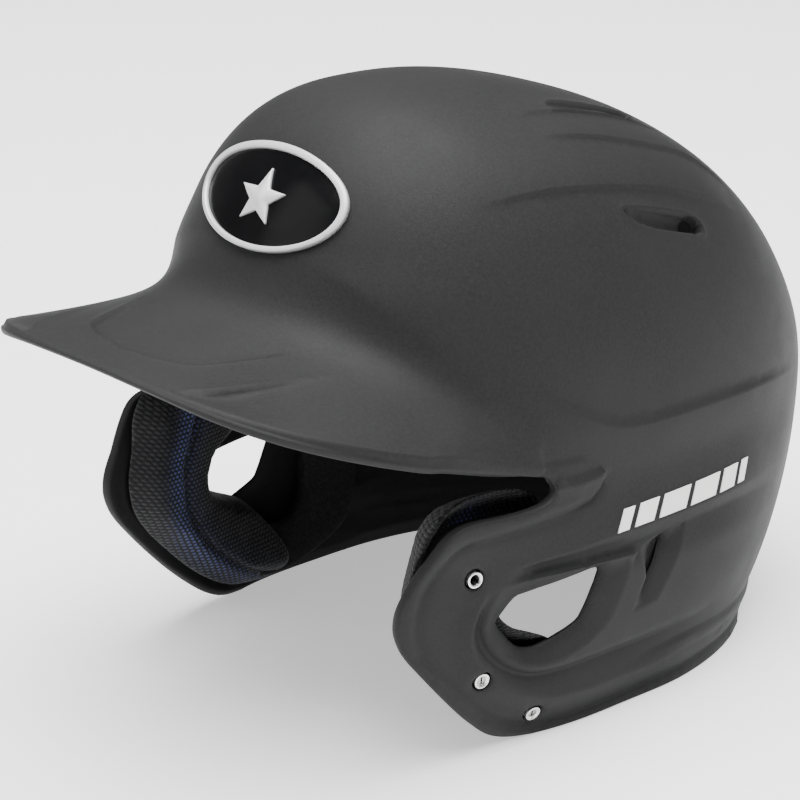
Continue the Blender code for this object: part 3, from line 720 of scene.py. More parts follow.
# The corner of the face opening is taller than the plain edge line: how far it rises, and its rounded end as
# (y, z) in millimetres.
CORNER_RISE = 0.0036
CORNER_END = [(-25.2, 100.4), (-23.7, 98.0), (-23.6, 95.4), (-26.0, 93.0), (-30.5, 91.9)]


def beside(line, distance):
    """A line moved sideways over the surface, without its ends: it keeps a crease crisp."""
    return inset(resampled(line, FINE_CELL, closed=False), distance, True, surface)[1:-1]


def fine_outline():
    turns = np.linspace(0, TEMPLE_ANGLE, 60)
    front = np.stack([turns, EDGE_LEVEL + CORNER_RISE * smooth((np.degrees(turns) - 50) / 13)], -1)
    flap = rounded(from_side(CORNER_END + FLAP_FRONT + FLAP_BOTTOM))
    angles = np.linspace(flap[-1, 0], math.pi, 60)[1:]
    rise = NAPE_RISE * smooth((angles - NAPE_RISE_ANGLE) / (math.pi - NAPE_RISE_ANGLE))
    half = np.concatenate([front, flap, np.stack([angles, rise], -1)])
    other = half[::-1].copy()
    other[:, 0] *= -1
    return np.concatenate([half, other[1:-1]])


def insert_frame(y, z):
    (angle, level), = from_side([(y, z)])
    return surface(angle, level), normal(angle, level)


def round_hole(y, z, radius, count=28):
    centre, outward = insert_frame(y, z)
    up = np.array([0, 0, 1]) - outward * outward[2]
    up /= np.linalg.norm(up)
    across = np.cross(up, outward)
    turns = np.arange(count) * math.tau / count
    ring = centre + radius * (np.cos(turns)[:, None] * across + np.sin(turns)[:, None] * up)
    return np.stack([side_angle(ring[:, 1], ring[:, 2]), ring[:, 2]], -1)


def both_sides(loops):
    found = []
    for loop in loops:
        other = loop[::-1].copy()
        other[:, 0] *= -1
        found += [loop, other]
    return found


def rounding(gap, radius):
    """How far a rounded edge falls at a distance from the rim."""
    inner = np.clip(radius - gap, 0, radius)
    return radius - np.sqrt(np.maximum(radius**2 - inner**2, 0))


def make_shell():
    holes = both_sides([EAR_LOOP, SLOT_LOOP, SIDE_VENT_LOOP, TOP_VENT_LOOP]
                       + [round_hole(*place, BORE_RADIUS) for place in INSERTS.values()])
    rings = [wide_ring(loop) for loop in (FUNNEL_LOOP, RECESS_LOOP, SIDE_DISH_LOOP, TOP_DISH_LOOP)]
    left = [BRIM_BAND_LINE, FLAP_BAND_LINE, BAND_FOLD_LINE, *rings[:2], VALLEY_LINE, TERRACE_LINE, LONG_LINE,
            LONG_UPPER_LINE, VEE_LINE, WEDGE_LINE, *rings[2:], LIP_LINE[:-2]] + [line for line, *_ in RIDGES]
    left += [beside(line, gap) for line in left for gap in (-CREASE_SIDE, CREASE_SIDE)]
    flat, places, faces, rim, gap = fine_sheet(fine_outline(), holes, FINE_CELL, surface, both_sides(left), RIM_RINGS)
    angle, level = places[:, 0], places[:, 1]
    base, outward = surface(angle, level), normal(angle, level)
    height = shell_relief(angle, level, flat, base)
    on_brim = level > EDGE_LEVEL - 0.0001
    outer = base + outward * (height - rounding(gap, np.where(on_brim, BRIM_ROUND, RIM_ROUND)))[:, None]
    # The inside follows the deeper detail, and the wall thins towards the front of the brim.
    under = np.minimum(height, 0) * 0.6 + np.clip(height - 0.001, 0, 1) * 0.8
    turn = np.degrees(np.abs(angle))
    thinned = THIN_FRONT * (1 - smooth(gap / 0.012)) * (1 - smooth((turn - 12) / 24)) * on_brim
    inner = base + outward * (under - SHELL_THICKNESS + thinned + rounding(gap, RIM_ROUND * 0.9))[:, None]
    return closed_solid("moulded_shell", outer, inner, faces, rim)


def finish_piece(piece, node_names, material):
    piece.location = SHIFT
    piece.data.materials.clear()
    piece.data.materials.append(material)
    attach(piece, "root")
    if node_names:
        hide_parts(*node_names)


class Nodes:
    """Short-hand for a material's node tree."""

    def __init__(self, name):
        self.material = bpy.data.materials.new(name)
        self.material.use_nodes = True
        self.tree = self.material.node_tree
        self.shader = self.tree.nodes["Principled BSDF"]

    def add(self, kind, inputs=(), **settings):
        node = self.tree.nodes.new(kind)
        for key, value in settings.items():
            setattr(node, key, value)
        for socket, value in dict(inputs).items():
            if isinstance(value, bpy.types.NodeSocket):
                self.tree.links.new(value, node.inputs[socket])
            else:
                node.inputs[socket].default_value = value
        return node

    def math(self, operation, a, b=0.0, clamp=False):
        return self.add("ShaderNodeMath", {0: a, 1: b}, operation=operation, use_clamp=clamp).outputs[0]

    def place(self):
        return self.add("ShaderNodeTexCoord").outputs["Object"]

    def noise(self, scale, detail=3.0, roughness=0.5, vector=None):
        inputs = {"Vector": vector or self.place(), "Scale": scale, "Detail": detail, "Roughness": roughness}
        return self.add("ShaderNodeTexNoise", inputs).outputs["Fac"]

    def ramp(self, factor, stops):
        node = self.add("ShaderNodeValToRGB", {0: factor})
        elements = node.color_ramp.elements
        while len(elements) < len(stops):
            elements.new(0.5)
        for element, (place, color) in zip(elements, stops):
            element.position = place
            element.color = (*color, 1) if isinstance(color, tuple) else (color, color, color, 1)
        return node.outputs[0]

    def mix(self, factor, a, b):
        node = self.add("ShaderNodeMix", {0: factor}, data_type="RGBA")
        for socket, value in ((6, a), (7, b)):
            if isinstance(value, tuple):
                node.inputs[socket].default_value = (*value, 1)
            else:
                self.tree.links.new(value, node.inputs[socket])
        return node.outputs[2]

    def bump(self, height, strength, distance, normal=None):
        inputs = {"Height": height, "Strength": strength, "Distance": distance}
        if normal is not None:
            inputs["Normal"] = normal
        return self.add("ShaderNodeBump", inputs).outputs[0]

    def finish(self, color=None, roughness=None, normal=None, **values):
        for socket, value in (("Base Color", color), ("Roughness", roughness), ("Normal", normal)):
            if value is not None:
                self.tree.links.new(value, self.shader.inputs[socket])
        for name, value in values.items():
            self.shader.inputs[name.replace("_", " ")].default_value = value
        return self.material


def grey(value):
    return (value, value, value * 1.03)


def matte_plastic():
    """Satin moulded plastic: fine sprayed grain, faint cloudiness and slightly polished patches."""
    n = Nodes("matte_charcoal_plastic")
    cloud = n.noise(22, 4)
    grain = n.noise(2600, 2)
    speck = n.noise(900, 3, 0.6)
    base = n.ramp(cloud, [(0.3, grey(0.0160)), (0.7, grey(0.0196))])
    color = n.mix(n.ramp(speck, [(0.35, 0.0), (0.75, 1.0)]), base, grey(0.0225))
    rough = n.ramp(n.noise(60, 5, 0.6), [(0.25, 0.47), (0.75, 0.56)])
    normal = n.bump(grain, 0.35, 0.00012)
    normal = n.bump(speck, 0.18, 0.0002, normal)
    return n.finish(color, rough, normal, Specular_IOR_Level=0.08)


def foam():
    n = Nodes("black_foam")
    voronoi = n.add("ShaderNodeTexVoronoi", {"Vector": n.place(), "Scale": 900.0}, feature="SMOOTH_F1")
    cells = voronoi.outputs["Distance"]
    color = n.ramp(cells, [(0.1, (0.006, 0.006, 0.007)), (0.8, (0.016, 0.016, 0.017))])
    rough = n.ramp(n.noise(300), [(0.3, 0.82), (0.7, 0.95)])
    return n.finish(color, rough, n.bump(cells, 0.5, 0.0004), Specular_IOR_Level=0.25)


def dot_grid(n, pitch):
    """Round dots on a staggered grid, from the piece's own weave coordinates in millimetres: 1 at a dot's middle."""
    weave = n.add("ShaderNodeAttribute", attribute_name="weave").outputs["Vector"]
    parts = n.add("ShaderNodeSeparateXYZ", {0: weave})
    across, along, blue = parts.outputs
    best = None
    for shift in (0.0, 0.5):
        squares = []
        for value, step in ((across, pitch), (along, pitch * 0.866 * 2)):
            cell = n.math("FRACT", n.math("ADD", n.math("DIVIDE", value, step), shift))
            off = n.math("MULTIPLY", n.math("SUBTRACT", cell, 0.5), step)
            squares.append(n.math("POWER", n.math("ABSOLUTE", off), 2.0))
        away = n.math("SQRT", n.math("ADD", *squares))
        best = away if best is None else n.math("MINIMUM", best, away)
    return best, blue


def mesh_fabric():
    """Black spacer mesh: a staggered grid of raised yarn dots, blue along the middle of the jaw pads."""
    n = Nodes("black_mesh_fabric")
    away, blue = dot_grid(n, 1.9)
    dot = n.ramp(n.math("DIVIDE", away, 1.1), [(0.38, 1.0), (0.68, 0.0)])
    yarn = n.noise(2200, 3, 0.7)
    ground = n.mix(yarn, (0.0030, 0.0030, 0.0035), (0.0070, 0.0070, 0.0080))
    plain = n.mix(yarn, (0.0090, 0.0090, 0.0100), (0.0170, 0.0170, 0.0190))
    tinted = n.mix(yarn, (0.030, 0.042, 0.150), (0.075, 0.105, 0.290))
    raised = n.mix(n.math("MULTIPLY", blue, 1.0, True), plain, tinted)
    color = n.mix(dot, ground, raised)
    rough = n.ramp(yarn, [(0.3, 0.72), (0.7, 0.9)])
    normal = n.bump(dot, 0.8, 0.0005)
    normal = n.bump(yarn, 0.4, 0.0002, normal)
    return n.finish(color, rough, normal, Specular_IOR_Level=0.3, Sheen_Weight=0.10, Sheen_Roughness=0.4)


def piping():
    n = Nodes("blue_piping_cord")
    wave = {"Vector": n.place(), "Scale": 700.0, "Distortion": 1.5}
    twist = n.add("ShaderNodeTexWave", wave, bands_direction="DIAGONAL").outputs["Fac"]
    color = n.mix(twist, (0.035, 0.050, 0.130), (0.110, 0.150, 0.330))
    return n.finish(color, n.ramp(twist, [(0.2, 0.55), (0.8, 0.75)]), n.bump(twist, 0.6, 0.0003), Sheen_Weight=0.2)


def thread():
    n = Nodes("black_seam_thread")
    twist = n.noise(1800, 3)
    color = n.mix(twist, (0.003, 0.003, 0.004), (0.014, 0.014, 0.016))
    return n.finish(color, n.ramp(twist, [(0.2, 0.6), (0.8, 0.85)]), n.bump(twist, 0.5, 0.0003))


def zinc_steel():
    n = Nodes("zinc_plated_steel")
    streak = n.noise(1500, 4, 0.6)
    pits = n.noise(5000, 2)
    color = n.mix(streak, (0.62, 0.62, 0.61), (0.84, 0.84, 0.82))
    # Painted shade: points down an insert's bore and in its slot are mixed towards near black by a per-point share.
    painted_bore_shade = n.add("ShaderNodeAttribute", attribute_name="painted_bore_shade").outputs["Fac"]
    color = n.mix(painted_bore_shade, color, (0.012, 0.012, 0.012))
    rough = n.ramp(n.noise(700, 4), [(0.3, 0.22), (0.7, 0.42)])
    return n.finish(color, rough, n.bump(pits, 0.25, 0.0001), Metallic=1.0)


def gloss_black():
    n = Nodes("gloss_black_plate")
    haze = n.noise(90, 5, 0.6)
    color = n.mix(haze, (0.0015, 0.0015, 0.0018), (0.0032, 0.0032, 0.0036))
    rough = n.ramp(haze, [(0.3, 0.16), (0.7, 0.26)])
    return n.finish(color, rough, n.bump(n.noise(1500), 0.04, 0.0001), Specular_IOR_Level=0.10)


def silver_trim():
    n = Nodes("silver_trim")
    brushed = n.add("ShaderNodeMapping", {"Vector": n.place(), "Scale": (300.0, 5200.0, 5200.0)}).outputs[0]
    lines = n.noise(1.0, 3, 0.6, brushed)
    color = n.mix(lines, (0.50, 0.50, 0.50), (0.66, 0.66, 0.66))
    return n.finish(color, n.ramp(lines, [(0.3, 0.38), (0.7, 0.52)]), n.bump(lines, 0.12, 0.0001), Metallic=0.35)


def white_print():
    n = Nodes("white_print")
    ink = n.noise(1200, 4, 0.6)
    color = n.mix(ink, (0.74, 0.74, 0.73), (0.86, 0.86, 0.85))
    return n.finish(color, n.ramp(n.noise(300, 3), [(0.3, 0.42), (0.7, 0.6)]), n.bump(ink, 0.1, 0.0001))


def lens_pad(name, outline, depth, edge, side, skirt):
    """A closed pad on the wall: flat towards the foam, crowned towards the head, with a thin rounded edge."""

    def rise(gap):
        return np.sqrt(np.clip(1 - (1 - np.clip(gap / edge, 0, 1)) ** 2, 0, 1))

    def start(gap):
        return depth - skirt * (1 - smooth(gap / edge))

    piece = slab(name, cut_corners(outline, 2), PAD_CELL, lambda gap: -start(gap) - 0.0012 * (1 - rise(gap)),
                 lambda gap: -start(gap) - PAD_EDGE - (COMFORT_THICKNESS - PAD_EDGE) * rise(gap), side=side)
    piece["front_from"] = len(piece.data.vertices) // 2
    return piece


def vertex_values(piece, name="co"):
    found = np.empty(len(piece.data.vertices) * 3, np.float32)
    piece.data.vertices.foreach_get(name, found)
    return found.reshape(-1, 3)


def coordinates(piece):
    return vertex_values(piece).astype(float)


def set_coordinates(piece, places):
    piece.data.vertices.foreach_set("co", places.astype(np.float32).ravel())
    piece.data.update()


def inflate(piece, held, cap):
    """Blows a pad up with a cloth simulation, holding its back, and applies the capped result."""
    start = coordinates(piece)
    group = piece.vertex_groups.new(name="held")
    group.add([int(i) for i in np.where(held)[0]], 1.0, "REPLACE")
    cloth = piece.modifiers.new("cloth", "CLOTH")
    settings = cloth.settings
    settings.quality = 4
    settings.mass = 0.15
    settings.tension_stiffness = settings.compression_stiffness = 12
    settings.bending_stiffness = 0.3
    settings.use_pressure = True
    settings.uniform_pressure_force = PAD_PRESSURE
    settings.vertex_group_mass = "held"
    settings.effector_weights.gravity = 0
    cloth.point_cache.frame_start, cloth.point_cache.frame_end = 1, CLOTH_FRAMES
    scene = bpy.context.scene
    for step in range(1, CLOTH_FRAMES + 1):
        scene.frame_set(step)
    evaluated = piece.evaluated_get(bpy.context.evaluated_depsgraph_get())
    blown = np.empty(len(start) * 3, np.float32)
    evaluated.data.vertices.foreach_get("co", blown)
    piece.modifiers.remove(cloth)
    piece.vertex_groups.clear()
    scene.frame_set(1)
    moved = blown.reshape(-1, 3) - start
    moved *= np.minimum(1, cap / np.maximum(np.linalg.norm(moved, axis=1, keepdims=True), 1e-9))
    set_coordinates(piece, start + np.nan_to_num(moved))


def subdivide(piece):
    modifier = piece.modifiers.new("subdivision", "SUBSURF")
    modifier.levels = modifier.render_levels = 1
    evaluated = piece.evaluated_get(bpy.context.evaluated_depsgraph_get())
    mesh = bpy.data.meshes.new_from_object(evaluated)
    piece.modifiers.clear()
    old = piece.data
    piece.data = mesh
    bpy.data.meshes.remove(old)
    mesh.name = piece.name
    mesh.shade_smooth()


def polyline_gap(places, line):
    best, share = np.full(len(places), FAR), np.zeros(len(places))
    for i, t, gap in segments(places, line):
        share = np.where(gap < best, (i + t) / (len(line) - 1), share)
        best = np.minimum(best, gap)
    return best, share


def sew(piece, line, depth, width, towards):
    """Presses a sewn channel into a pad along a line, in the direction of the foam."""
    places = coordinates(piece)
    gap, _ = polyline_gap(places, line)
    shown = np.clip((vertex_values(piece, "normal") @ towards) * -2, 0, 1)
    set_coordinates(piece, places + np.outer(depth * np.exp(-(gap / width) ** 2) * shown, towards))


def finish_pad(pad, name, axes, blue=0.0):
    """Gives a pad its weave coordinates in millimetres along two axes, its share of blue and its looks."""
    places = coordinates(pad) / MM
    weave = [places[:, axes[0]], places[:, axes[1]], np.broadcast_to(blue, len(places))]
    attribute = pad.data.attributes.new("weave", "FLOAT_VECTOR", "POINT")
    attribute.data.foreach_set("vector", np.stack(weave, -1).astype(np.float32).ravel())
    finish_piece(pad, [f"{name}_comfort"], LOOKS["fabric"])


def add_cord(name, points, radius):
    """A thin stitched-on cord as a mesh tube."""
    curve = bpy.data.curves.new(name, "CURVE")
    curve.dimensions = "3D"
    spline = curve.splines.new("NURBS")
    spline.points.add(len(points) - 1)
    for point, place in zip(spline.points, points):
        point.co = (*place, 1)
    spline.use_endpoint_u = True
    spline.order_u = 4
    curve.bevel_depth = radius
    curve.bevel_resolution = 3
    curve.use_fill_caps = True
    curve.resolution_u = 6
    made = linked(name, curve)
    mesh = bpy.data.meshes.new_from_object(made.evaluated_get(bpy.context.evaluated_depsgraph_get()))
    bpy.data.objects.remove(made)
    bpy.data.curves.remove(curve)
    mesh.name = name
    mesh.shade_smooth()
    finish_piece(linked(name, mesh), [], LOOKS["piping"])


def on_piece(piece, seeds, towards, lift=0.0):
    """Drops points onto the head's side of a pad, along the given direction."""
    towards = Vector(towards)
    found = [piece.ray_cast(Vector(seed) - towards * 0.03, towards) for seed in seeds]
    return np.array([tuple(place - towards * lift) for hit, place, _, _ in found if hit])


FOAM_ROUND = 0.0016
SEAM = [(-49, 86), (-54, 76), (-58.5, 66), (-58.5, 56), (-57, 45), (-51.5, 35), (-45, 27), (-35, 18.5),
        (-24, 11.5), (-12, 6)]
SEAM_DEPTH = 0.0022
SEAM_WIDTH = 0.0015
# The blue ahead of the seam and behind it: strength, distance from the seam and width.
BLUE_BANDS = ((1.15, 0.0040, 0.0044), (0.30, 0.003, 0.0045))
STITCH_PITCH = 0.0030
STITCH_LENGTH = 0.0019
STITCH_RADIUS = 0.00035
JAW_EDGE = 0.0070
JAW_CAP = 0.0026
JAW_SKIRT = 0.0072
SIDE_CHANNELS = ([(-8, 152), (8, 131), (-6, 109)], [(22, 153), (10, 131), (24, 108)])


def foam_block(name, outline, depth, side=1):
    """The firm liner block between the shell and a padded layer, with rounded edges."""
    return slab(name, cut_corners(outline, 2), FOAM_CELL, lambda gap: -depth - rounding(gap, FOAM_ROUND),
                lambda gap: -depth - FOAM_THICKNESS + rounding(gap, FOAM_ROUND), side=side, rings=(0.0005, 0.0014))


def patch(first_angle, last_angle, low, high, corner=0.2):
    middle = np.array([(first_angle + last_angle) / 2, (low + high) / 2])
    half = np.array([(last_angle - first_angle) / 2, (high - low) / 2])
    turns = np.arange(24) * math.tau / 24 + math.tau / 48
    circle = np.stack([np.cos(turns), np.sin(turns)], -1)
    points = middle + half * np.sign(circle) * np.abs(circle) ** (2 / (2 + 1 / corner))
    points[:, 0] = np.radians(points[:, 0])
    return points


def crown_patch(half_width, half_length):
    turns = np.arange(32) * math.tau / 32 - math.pi
    size = ((np.sin(turns) / half_width) ** 2 + (np.cos(turns) / half_length) ** 2) ** -0.5
    levels = np.linspace(CROWN_Z - 0.0001, WIDEST_Z, 300)
    found = []
    for turn, reach in zip(turns, size):
        places = wall(np.full_like(levels, turn), levels)
        found.append((turn, np.interp(reach, np.hypot(places[:, 0], places[:, 1] - places[0, 1]), levels)))
    return np.array(found)


def make_pad(name, foam_outline, fabric_outline, foam_depth, side=1, edge=0.010, cap=0.0035, skirt=0.0):
    """A liner block and the blown-up fabric layer on it, which is returned."""
    block = foam_block(f"{name}_liner", foam_outline, foam_depth, side)
    finish_piece(block, [f"{name}_foam"], LOOKS["foam"])
    pad = lens_pad(f"{name}_pad", fabric_outline, foam_depth + FOAM_THICKNESS - 0.0002, edge, side, skirt)
    inflate(pad, np.arange(len(pad.data.vertices)) < pad["front_from"], cap)
    subdivide(pad)
    return pad


def make_jaw_pad(suffix, side):
    name = f"jaw_{suffix}"
    outlines = from_side(JAW_LINER), from_side(JAW_FABRIC)
    pad = make_pad(name, *outlines, JAW_FOAM_DEPTH, side, JAW_EDGE, JAW_CAP, JAW_SKIRT)
    towards = np.array([side, 0.0, 0.0])
    seam = rounded(np.array(SEAM) * MM)
    inner = side * (HALF_WIDTH - JAW_FOAM_DEPTH - FOAM_THICKNESS - COMFORT_THICKNESS - 0.002)
    seeds = [(inner, y, z) for y, z in seam]
    sew(pad, on_piece(pad, seeds, towards), SEAM_DEPTH, SEAM_WIDTH, towards)
    places = coordinates(pad)
    gap, share = polyline_gap(places * np.array([0, 1, 1]), np.array([(0, y, z) for y, z in seam]))
    # The blue is a band ahead of the seam, with a weaker one behind it, and fades on the way down.
    ahead = places[:, 1] < np.interp(places[:, 2], seam[::-1, 1], seam[::-1, 0])
    near, far = (strength * np.exp(-((gap - middle) / width) ** 2) for strength, middle, width in BLUE_BANDS)
    band = np.where(ahead, near, far)
    finish_pad(pad, name, (1, 2), np.clip(band * np.clip(1.1 - 0.75 * share, 0, 1), 0, 1))
    add_stitches(f"{name}_seam", on_piece(pad, seeds, towards, 0.0001))


def add_stitches(name, line):
    """A row of separate stitches laid along a seam."""
    way = np.concatenate([[0], np.cumsum(np.linalg.norm(np.diff(line, axis=0), axis=1))])
    mesh = bmesh.new()
    turns = np.arange(6) * math.tau / 6
    for i in range(int(way[-1] / STITCH_PITCH)):
        track = i * STITCH_PITCH + np.array([0, 0.2, 0.5, 0.8, 1.0]) * STITCH_LENGTH
        points = np.stack([np.interp(track, way, line[:, axis]) for axis in range(3)], -1)
        along = points[-1] - points[0]
        along /= np.linalg.norm(along) + 1e-12
        one = np.cross(along, (0.3, 0.2, 0.93))
        one /= np.linalg.norm(one) + 1e-12
        two = np.cross(along, one)
        rows = [[mesh.verts.new(point + STITCH_RADIUS * thick * (math.cos(a) * one + math.sin(a) * two)) for a in turns]
                for point, thick in zip(points, (0.45, 0.9, 1.0, 0.9, 0.45))]
        skin(mesh, rows)
        mesh.faces.new(rows[0][::-1])
        mesh.faces.new(rows[-1])
    finish_piece(from_working(name, mesh), [], LOOKS["thread"])


def sewn(pad, seeds, towards, depth, width):
    found = on_piece(pad, seeds, towards)
    if len(found) > 3:
        sew(pad, found, depth, width, towards)


def make_side_pad(suffix, side):
    name = f"side_{suffix}"
    pad = make_pad(name, patch(72, 116, 0.102, 0.160), patch(74, 114, 0.105, 0.157), FOAM_DEPTH, side)
    towards = np.array([side, 0.0, 0.0])
    for k, line in enumerate(SIDE_CHANNELS):
        seeds = [(side * 0.060, y, z) for y, z in rounded(np.array(line, float) * MM, 3)]
        sewn(pad, seeds, towards, 0.0026, 0.0026)
        add_cord(f"{name}_piping_{k + 1}", on_piece(pad, seeds, towards, 0.0003), 0.0009)
    finish_pad(pad, name, (1, 2))


def make_middle_pads():
    """The front, rear and crown pads, with their sewn channels."""
    specs = [("front", patch(-50, 50, 0.153, 0.189), patch(-46, 46, 0.156, 0.186), FRONT_FOAM_DEPTH, (0, 2),
              (0, -1, 0.25), [(-22, -22), (22, 22)]),
             ("rear", patch(142, 218, 0.050, 0.128), patch(145, 215, 0.053, 0.125), FOAM_DEPTH, (0, 2),
              (0, 1, -0.1), [(-24, -17), (24, 17)]),
             ("crown", crown_patch(0.036, 0.050), crown_patch(0.032, 0.046), FOAM_DEPTH, (0, 1), (0, 0, 1), [])]
    for name, foam_outline, fabric_outline, depth, axes, towards, channels in specs:
        pad = make_pad(name, foam_outline, fabric_outline, depth)
        towards = np.array(towards, float) / np.linalg.norm(towards)
        places = coordinates(pad)
        low, high = places.min(axis=0), places.max(axis=0)
        middle = (low + high) / 2
        if name == "crown":
            turns = np.linspace(0, math.tau, 40)
            line = [0.019 * np.cos(turns), middle[1] + 0.029 * np.sin(turns), np.full(40, low[2] - 0.01)]
            sewn(pad, np.stack(line, -1), towards, 0.0020, 0.0024)
        for x0, x1 in channels:
            share = np.linspace(0.02, 0.98, 30)
            line = [(x0 + (x1 - x0) * share) * MM, np.full(30, middle[1] - towards[1] * 0.03),
                    low[2] + (high[2] - low[2]) * share]
            sewn(pad, np.stack(line, -1), towards, 0.0024, 0.0026)
        finish_pad(pad, name, axes)


def badge_point(x, z):
    side, ahead, behind, centre = section(z)
    ahead_by = ahead * (1 - np.clip(np.abs(x) / side, 0, 1) ** PLAN_POWER) ** (1 / PLAN_POWER)
    return np.stack([np.arctan2(x, ahead_by), z], -1)


def oval(shrink, count=96):
    turns = np.arange(count) * math.tau / count
    half_height = BADGE_HALF_HEIGHT - shrink * 0.75
    return badge_point((BADGE_HALF_WIDTH - shrink) * np.cos(turns), BADGE_Z + half_height * np.sin(turns))


def star_loop():
    turns = np.arange(2 * STAR_POINTS) * math.pi / STAR_POINTS
    reach = np.where(np.arange(2 * STAR_POINTS) % 2 == 0, STAR_OUTER, STAR_INNER)
    return badge_point(reach * np.sin(turns), BADGE_Z + 0.75 * reach * np.cos(turns))


def trim_slab(name, outline, holes, lift, thickness, radius, cell, crown=0.0, side=1):
    """A thin applied piece with rounded upper edges: a plate, ring or print."""

    def top(gap):
        return lift + thickness - rounding(gap, radius) + crown * smooth(gap / CROWN_REACH)

    return slab(name, outline, cell, top, lambda gap: lift, side=side, holes=holes, rings=(radius * 0.3, radius * 0.8))


def joined(name, pieces):
    vertices, faces, count = [], [], 0
    for piece in pieces:
        vertices.append(coordinates(piece))
        faces += [tuple(count + i for i in face.vertices) for face in piece.data.polygons]
        count += len(vertices[-1])
        bpy.data.objects.remove(piece)
    return link_mesh(name, np.concatenate(vertices), faces)


def make_badge():
    plate = trim_slab("badge_domed_plate", oval(0.0006), [], -0.0004, 0.0012, 0.0004, 0.0018, crown=0.0004)
    finish_piece(plate, ["badge_plate"], LOOKS["plate"])
    ring = trim_slab("badge_raised_ring", oval(0.0004), [oval(BADGE_RING)], 0.0, 0.0024, 0.0007, 0.0012)
    finish_piece(ring, ["badge_ring"], LOOKS["silver"])
    loop = star_loop()
    arms = [np.array([badge_point(np.array(0.0), np.array(BADGE_Z)), point]) for point in loop]
    star = slab("badge_faceted_star", loop, STAR_CELL,
                lambda gap: STAR_LIFT + np.minimum(gap * STAR_PITCH, STAR_RISE) - rounding(gap, STAR_ROUND),
                lambda gap: STAR_BACK, lines=arms, rings=(0.0002,))
    finish_piece(star, ["badge_star"], LOOKS["silver"])


def make_stripe(suffix, side):
    bars = []
    for start, width in STRIPE_BARS:
        low = [(start, STRIPE_LOW), (start + width, STRIPE_LOW)]
        high = [(y + STRIPE_SLANT, STRIPE_HIGH) for y, _ in low[::-1]]
        bars.append(trim_slab("bar", from_side(low + high), [], -0.0004, 0.0010, 0.0003, 0.0020, side=side))
    finish_piece(joined(f"stripe_print_{suffix}", bars), [f"stripe_{suffix}"], LOOKS["white"])


def insert_profile(slotted):
    """Radius and height round an insert's section, outwards from its mouth and back up the bore, and the bore's end."""
    top, bottom = INSERT_TOP, -SHELL_THICKNESS - 0.0012
    outside = [(THREAD_RADIUS + 0.00045, top - 0.00012), (THREAD_RADIUS + 0.0006, top), (BARREL_RADIUS - 0.00035, top),
               (BARREL_RADIUS - 0.0001, top - 0.00012), (BARREL_RADIUS, top - 0.0004), (BARREL_RADIUS, bottom),
               (0.0 if slotted else THREAD_RADIUS, bottom)]
    floor = SLOT_FLOOR if slotted else bottom
    turns = int((top - floor) / THREAD_PITCH)
    thread = []
    for i in range(turns):
        z = floor + (i + 0.5) * (top - floor - 0.0004) / turns
        thread += [(THREAD_RADIUS + 0.00022, z - 0.00012), (THREAD_RADIUS - 0.00005, z + 0.00012)]
    if slotted:
        return outside[::-1] + thread[::-1] + [(THREAD_RADIUS - 0.0002, floor), (0.0, floor)], floor
    return outside + thread, floor


def painted_bore_shade_share(radius, height, floor, slotted):
    """How much painted shade a point of an insert gets for lying down in its bore or in its screwdriver slot."""
    if not slotted:
        return float(radius < THREAD_RADIUS + 0.0003 and height < 0.00022)
    if radius <= THREAD_RADIUS + 0.0002 and height < floor + 0.0003:
        return 0.92
    return 0.5 if radius < THREAD_RADIUS - 0.0001 and height < floor + 0.0009 else 0.0


def skin(mesh, rows):
    """Faces between rings of points. A ring may be one point repeated."""
    for low, high in zip(rows, rows[1:]):
        for k in range(len(low)):
            corners = list(dict.fromkeys([low[k], low[(k + 1) % len(low)], high[(k + 1) % len(low)], high[k]]))
            if len(corners) > 2:
                mesh.faces.new(corners)


def add_plug(mesh, floor):
    """The screwdriver slot is the gap between two half-round lands in the bore."""
    reach = THREAD_RADIUS - 0.00012
    limit = math.acos(SLOT_HALF / reach)
    for half in (-1, 1):
        steps = np.linspace(-1, 1, 13)
        straight = [(half * SLOT_HALF, s * math.sqrt(reach**2 - SLOT_HALF**2)) for s in steps]
        arc = [(half * reach * math.cos(s * limit), reach * math.sin(s * limit)) for s in steps[-2:0:-1]]
        outline = np.array(straight + arc)
        middle = outline.mean(axis=0)
        rows = [[mesh.verts.new((*point, floor + height)) for point in middle + (outline - middle) * shrink]
                for height, shrink in ((0.0, 1.0), (0.00062, 1.0), (0.00072, 0.93))]
        skin(mesh, rows)
        mesh.faces.new(rows[-1])
        mesh.faces.new(rows[0][::-1])


def make_insert(name, centre, outward, side, slotted):
    profile, floor = insert_profile(slotted)
    mesh = bmesh.new()
    turns = np.arange(40) * math.tau / 40
    rows = [[mesh.verts.new((radius * math.cos(a), radius * math.sin(a), height)) for a in turns] if radius
            else [mesh.verts.new((0, 0, height))] * len(turns) for radius, height in profile]
    skin(mesh, rows if slotted else rows + rows[:1])
    bmesh.ops.remove_doubles(mesh, verts=mesh.verts, dist=1e-7)
    if slotted:
        add_plug(mesh, floor)
    piece = from_working(name, mesh)
    data = piece.data
    # Painted shade down the bore and in the screwdriver slot, stored per point for the material.
    painted_bore_shade = data.attributes.new("painted_bore_shade", "FLOAT", "POINT")
    bore_shade_values = [painted_bore_shade_share(math.hypot(v.co.x, v.co.y), v.co.z, floor, slotted) for v in data.vertices]
    painted_bore_shade.data.foreach_set("value", np.array(bore_shade_values, np.float32))
    mirror = Vector((side, 1, 1))
    turn = (Vector(outward) * mirror).to_track_quat("Z", "Y").to_matrix().to_4x4()
    data.transform(Matrix.Translation(Vector(centre) * mirror) @ turn)
    data.set_sharp_from_angle(angle=math.radians(35))
    return piece


def make_inserts():
    for place, (y, z) in INSERTS.items():
        centre, outward = insert_frame(y, z)
        for side, suffix in SIDES:
            piece = make_insert(f"insert_{place}_{suffix}_threaded", centre, outward, side, place != "upper")
            finish_piece(piece, [f"insert_{place}_{suffix}"], LOOKS["zinc"])


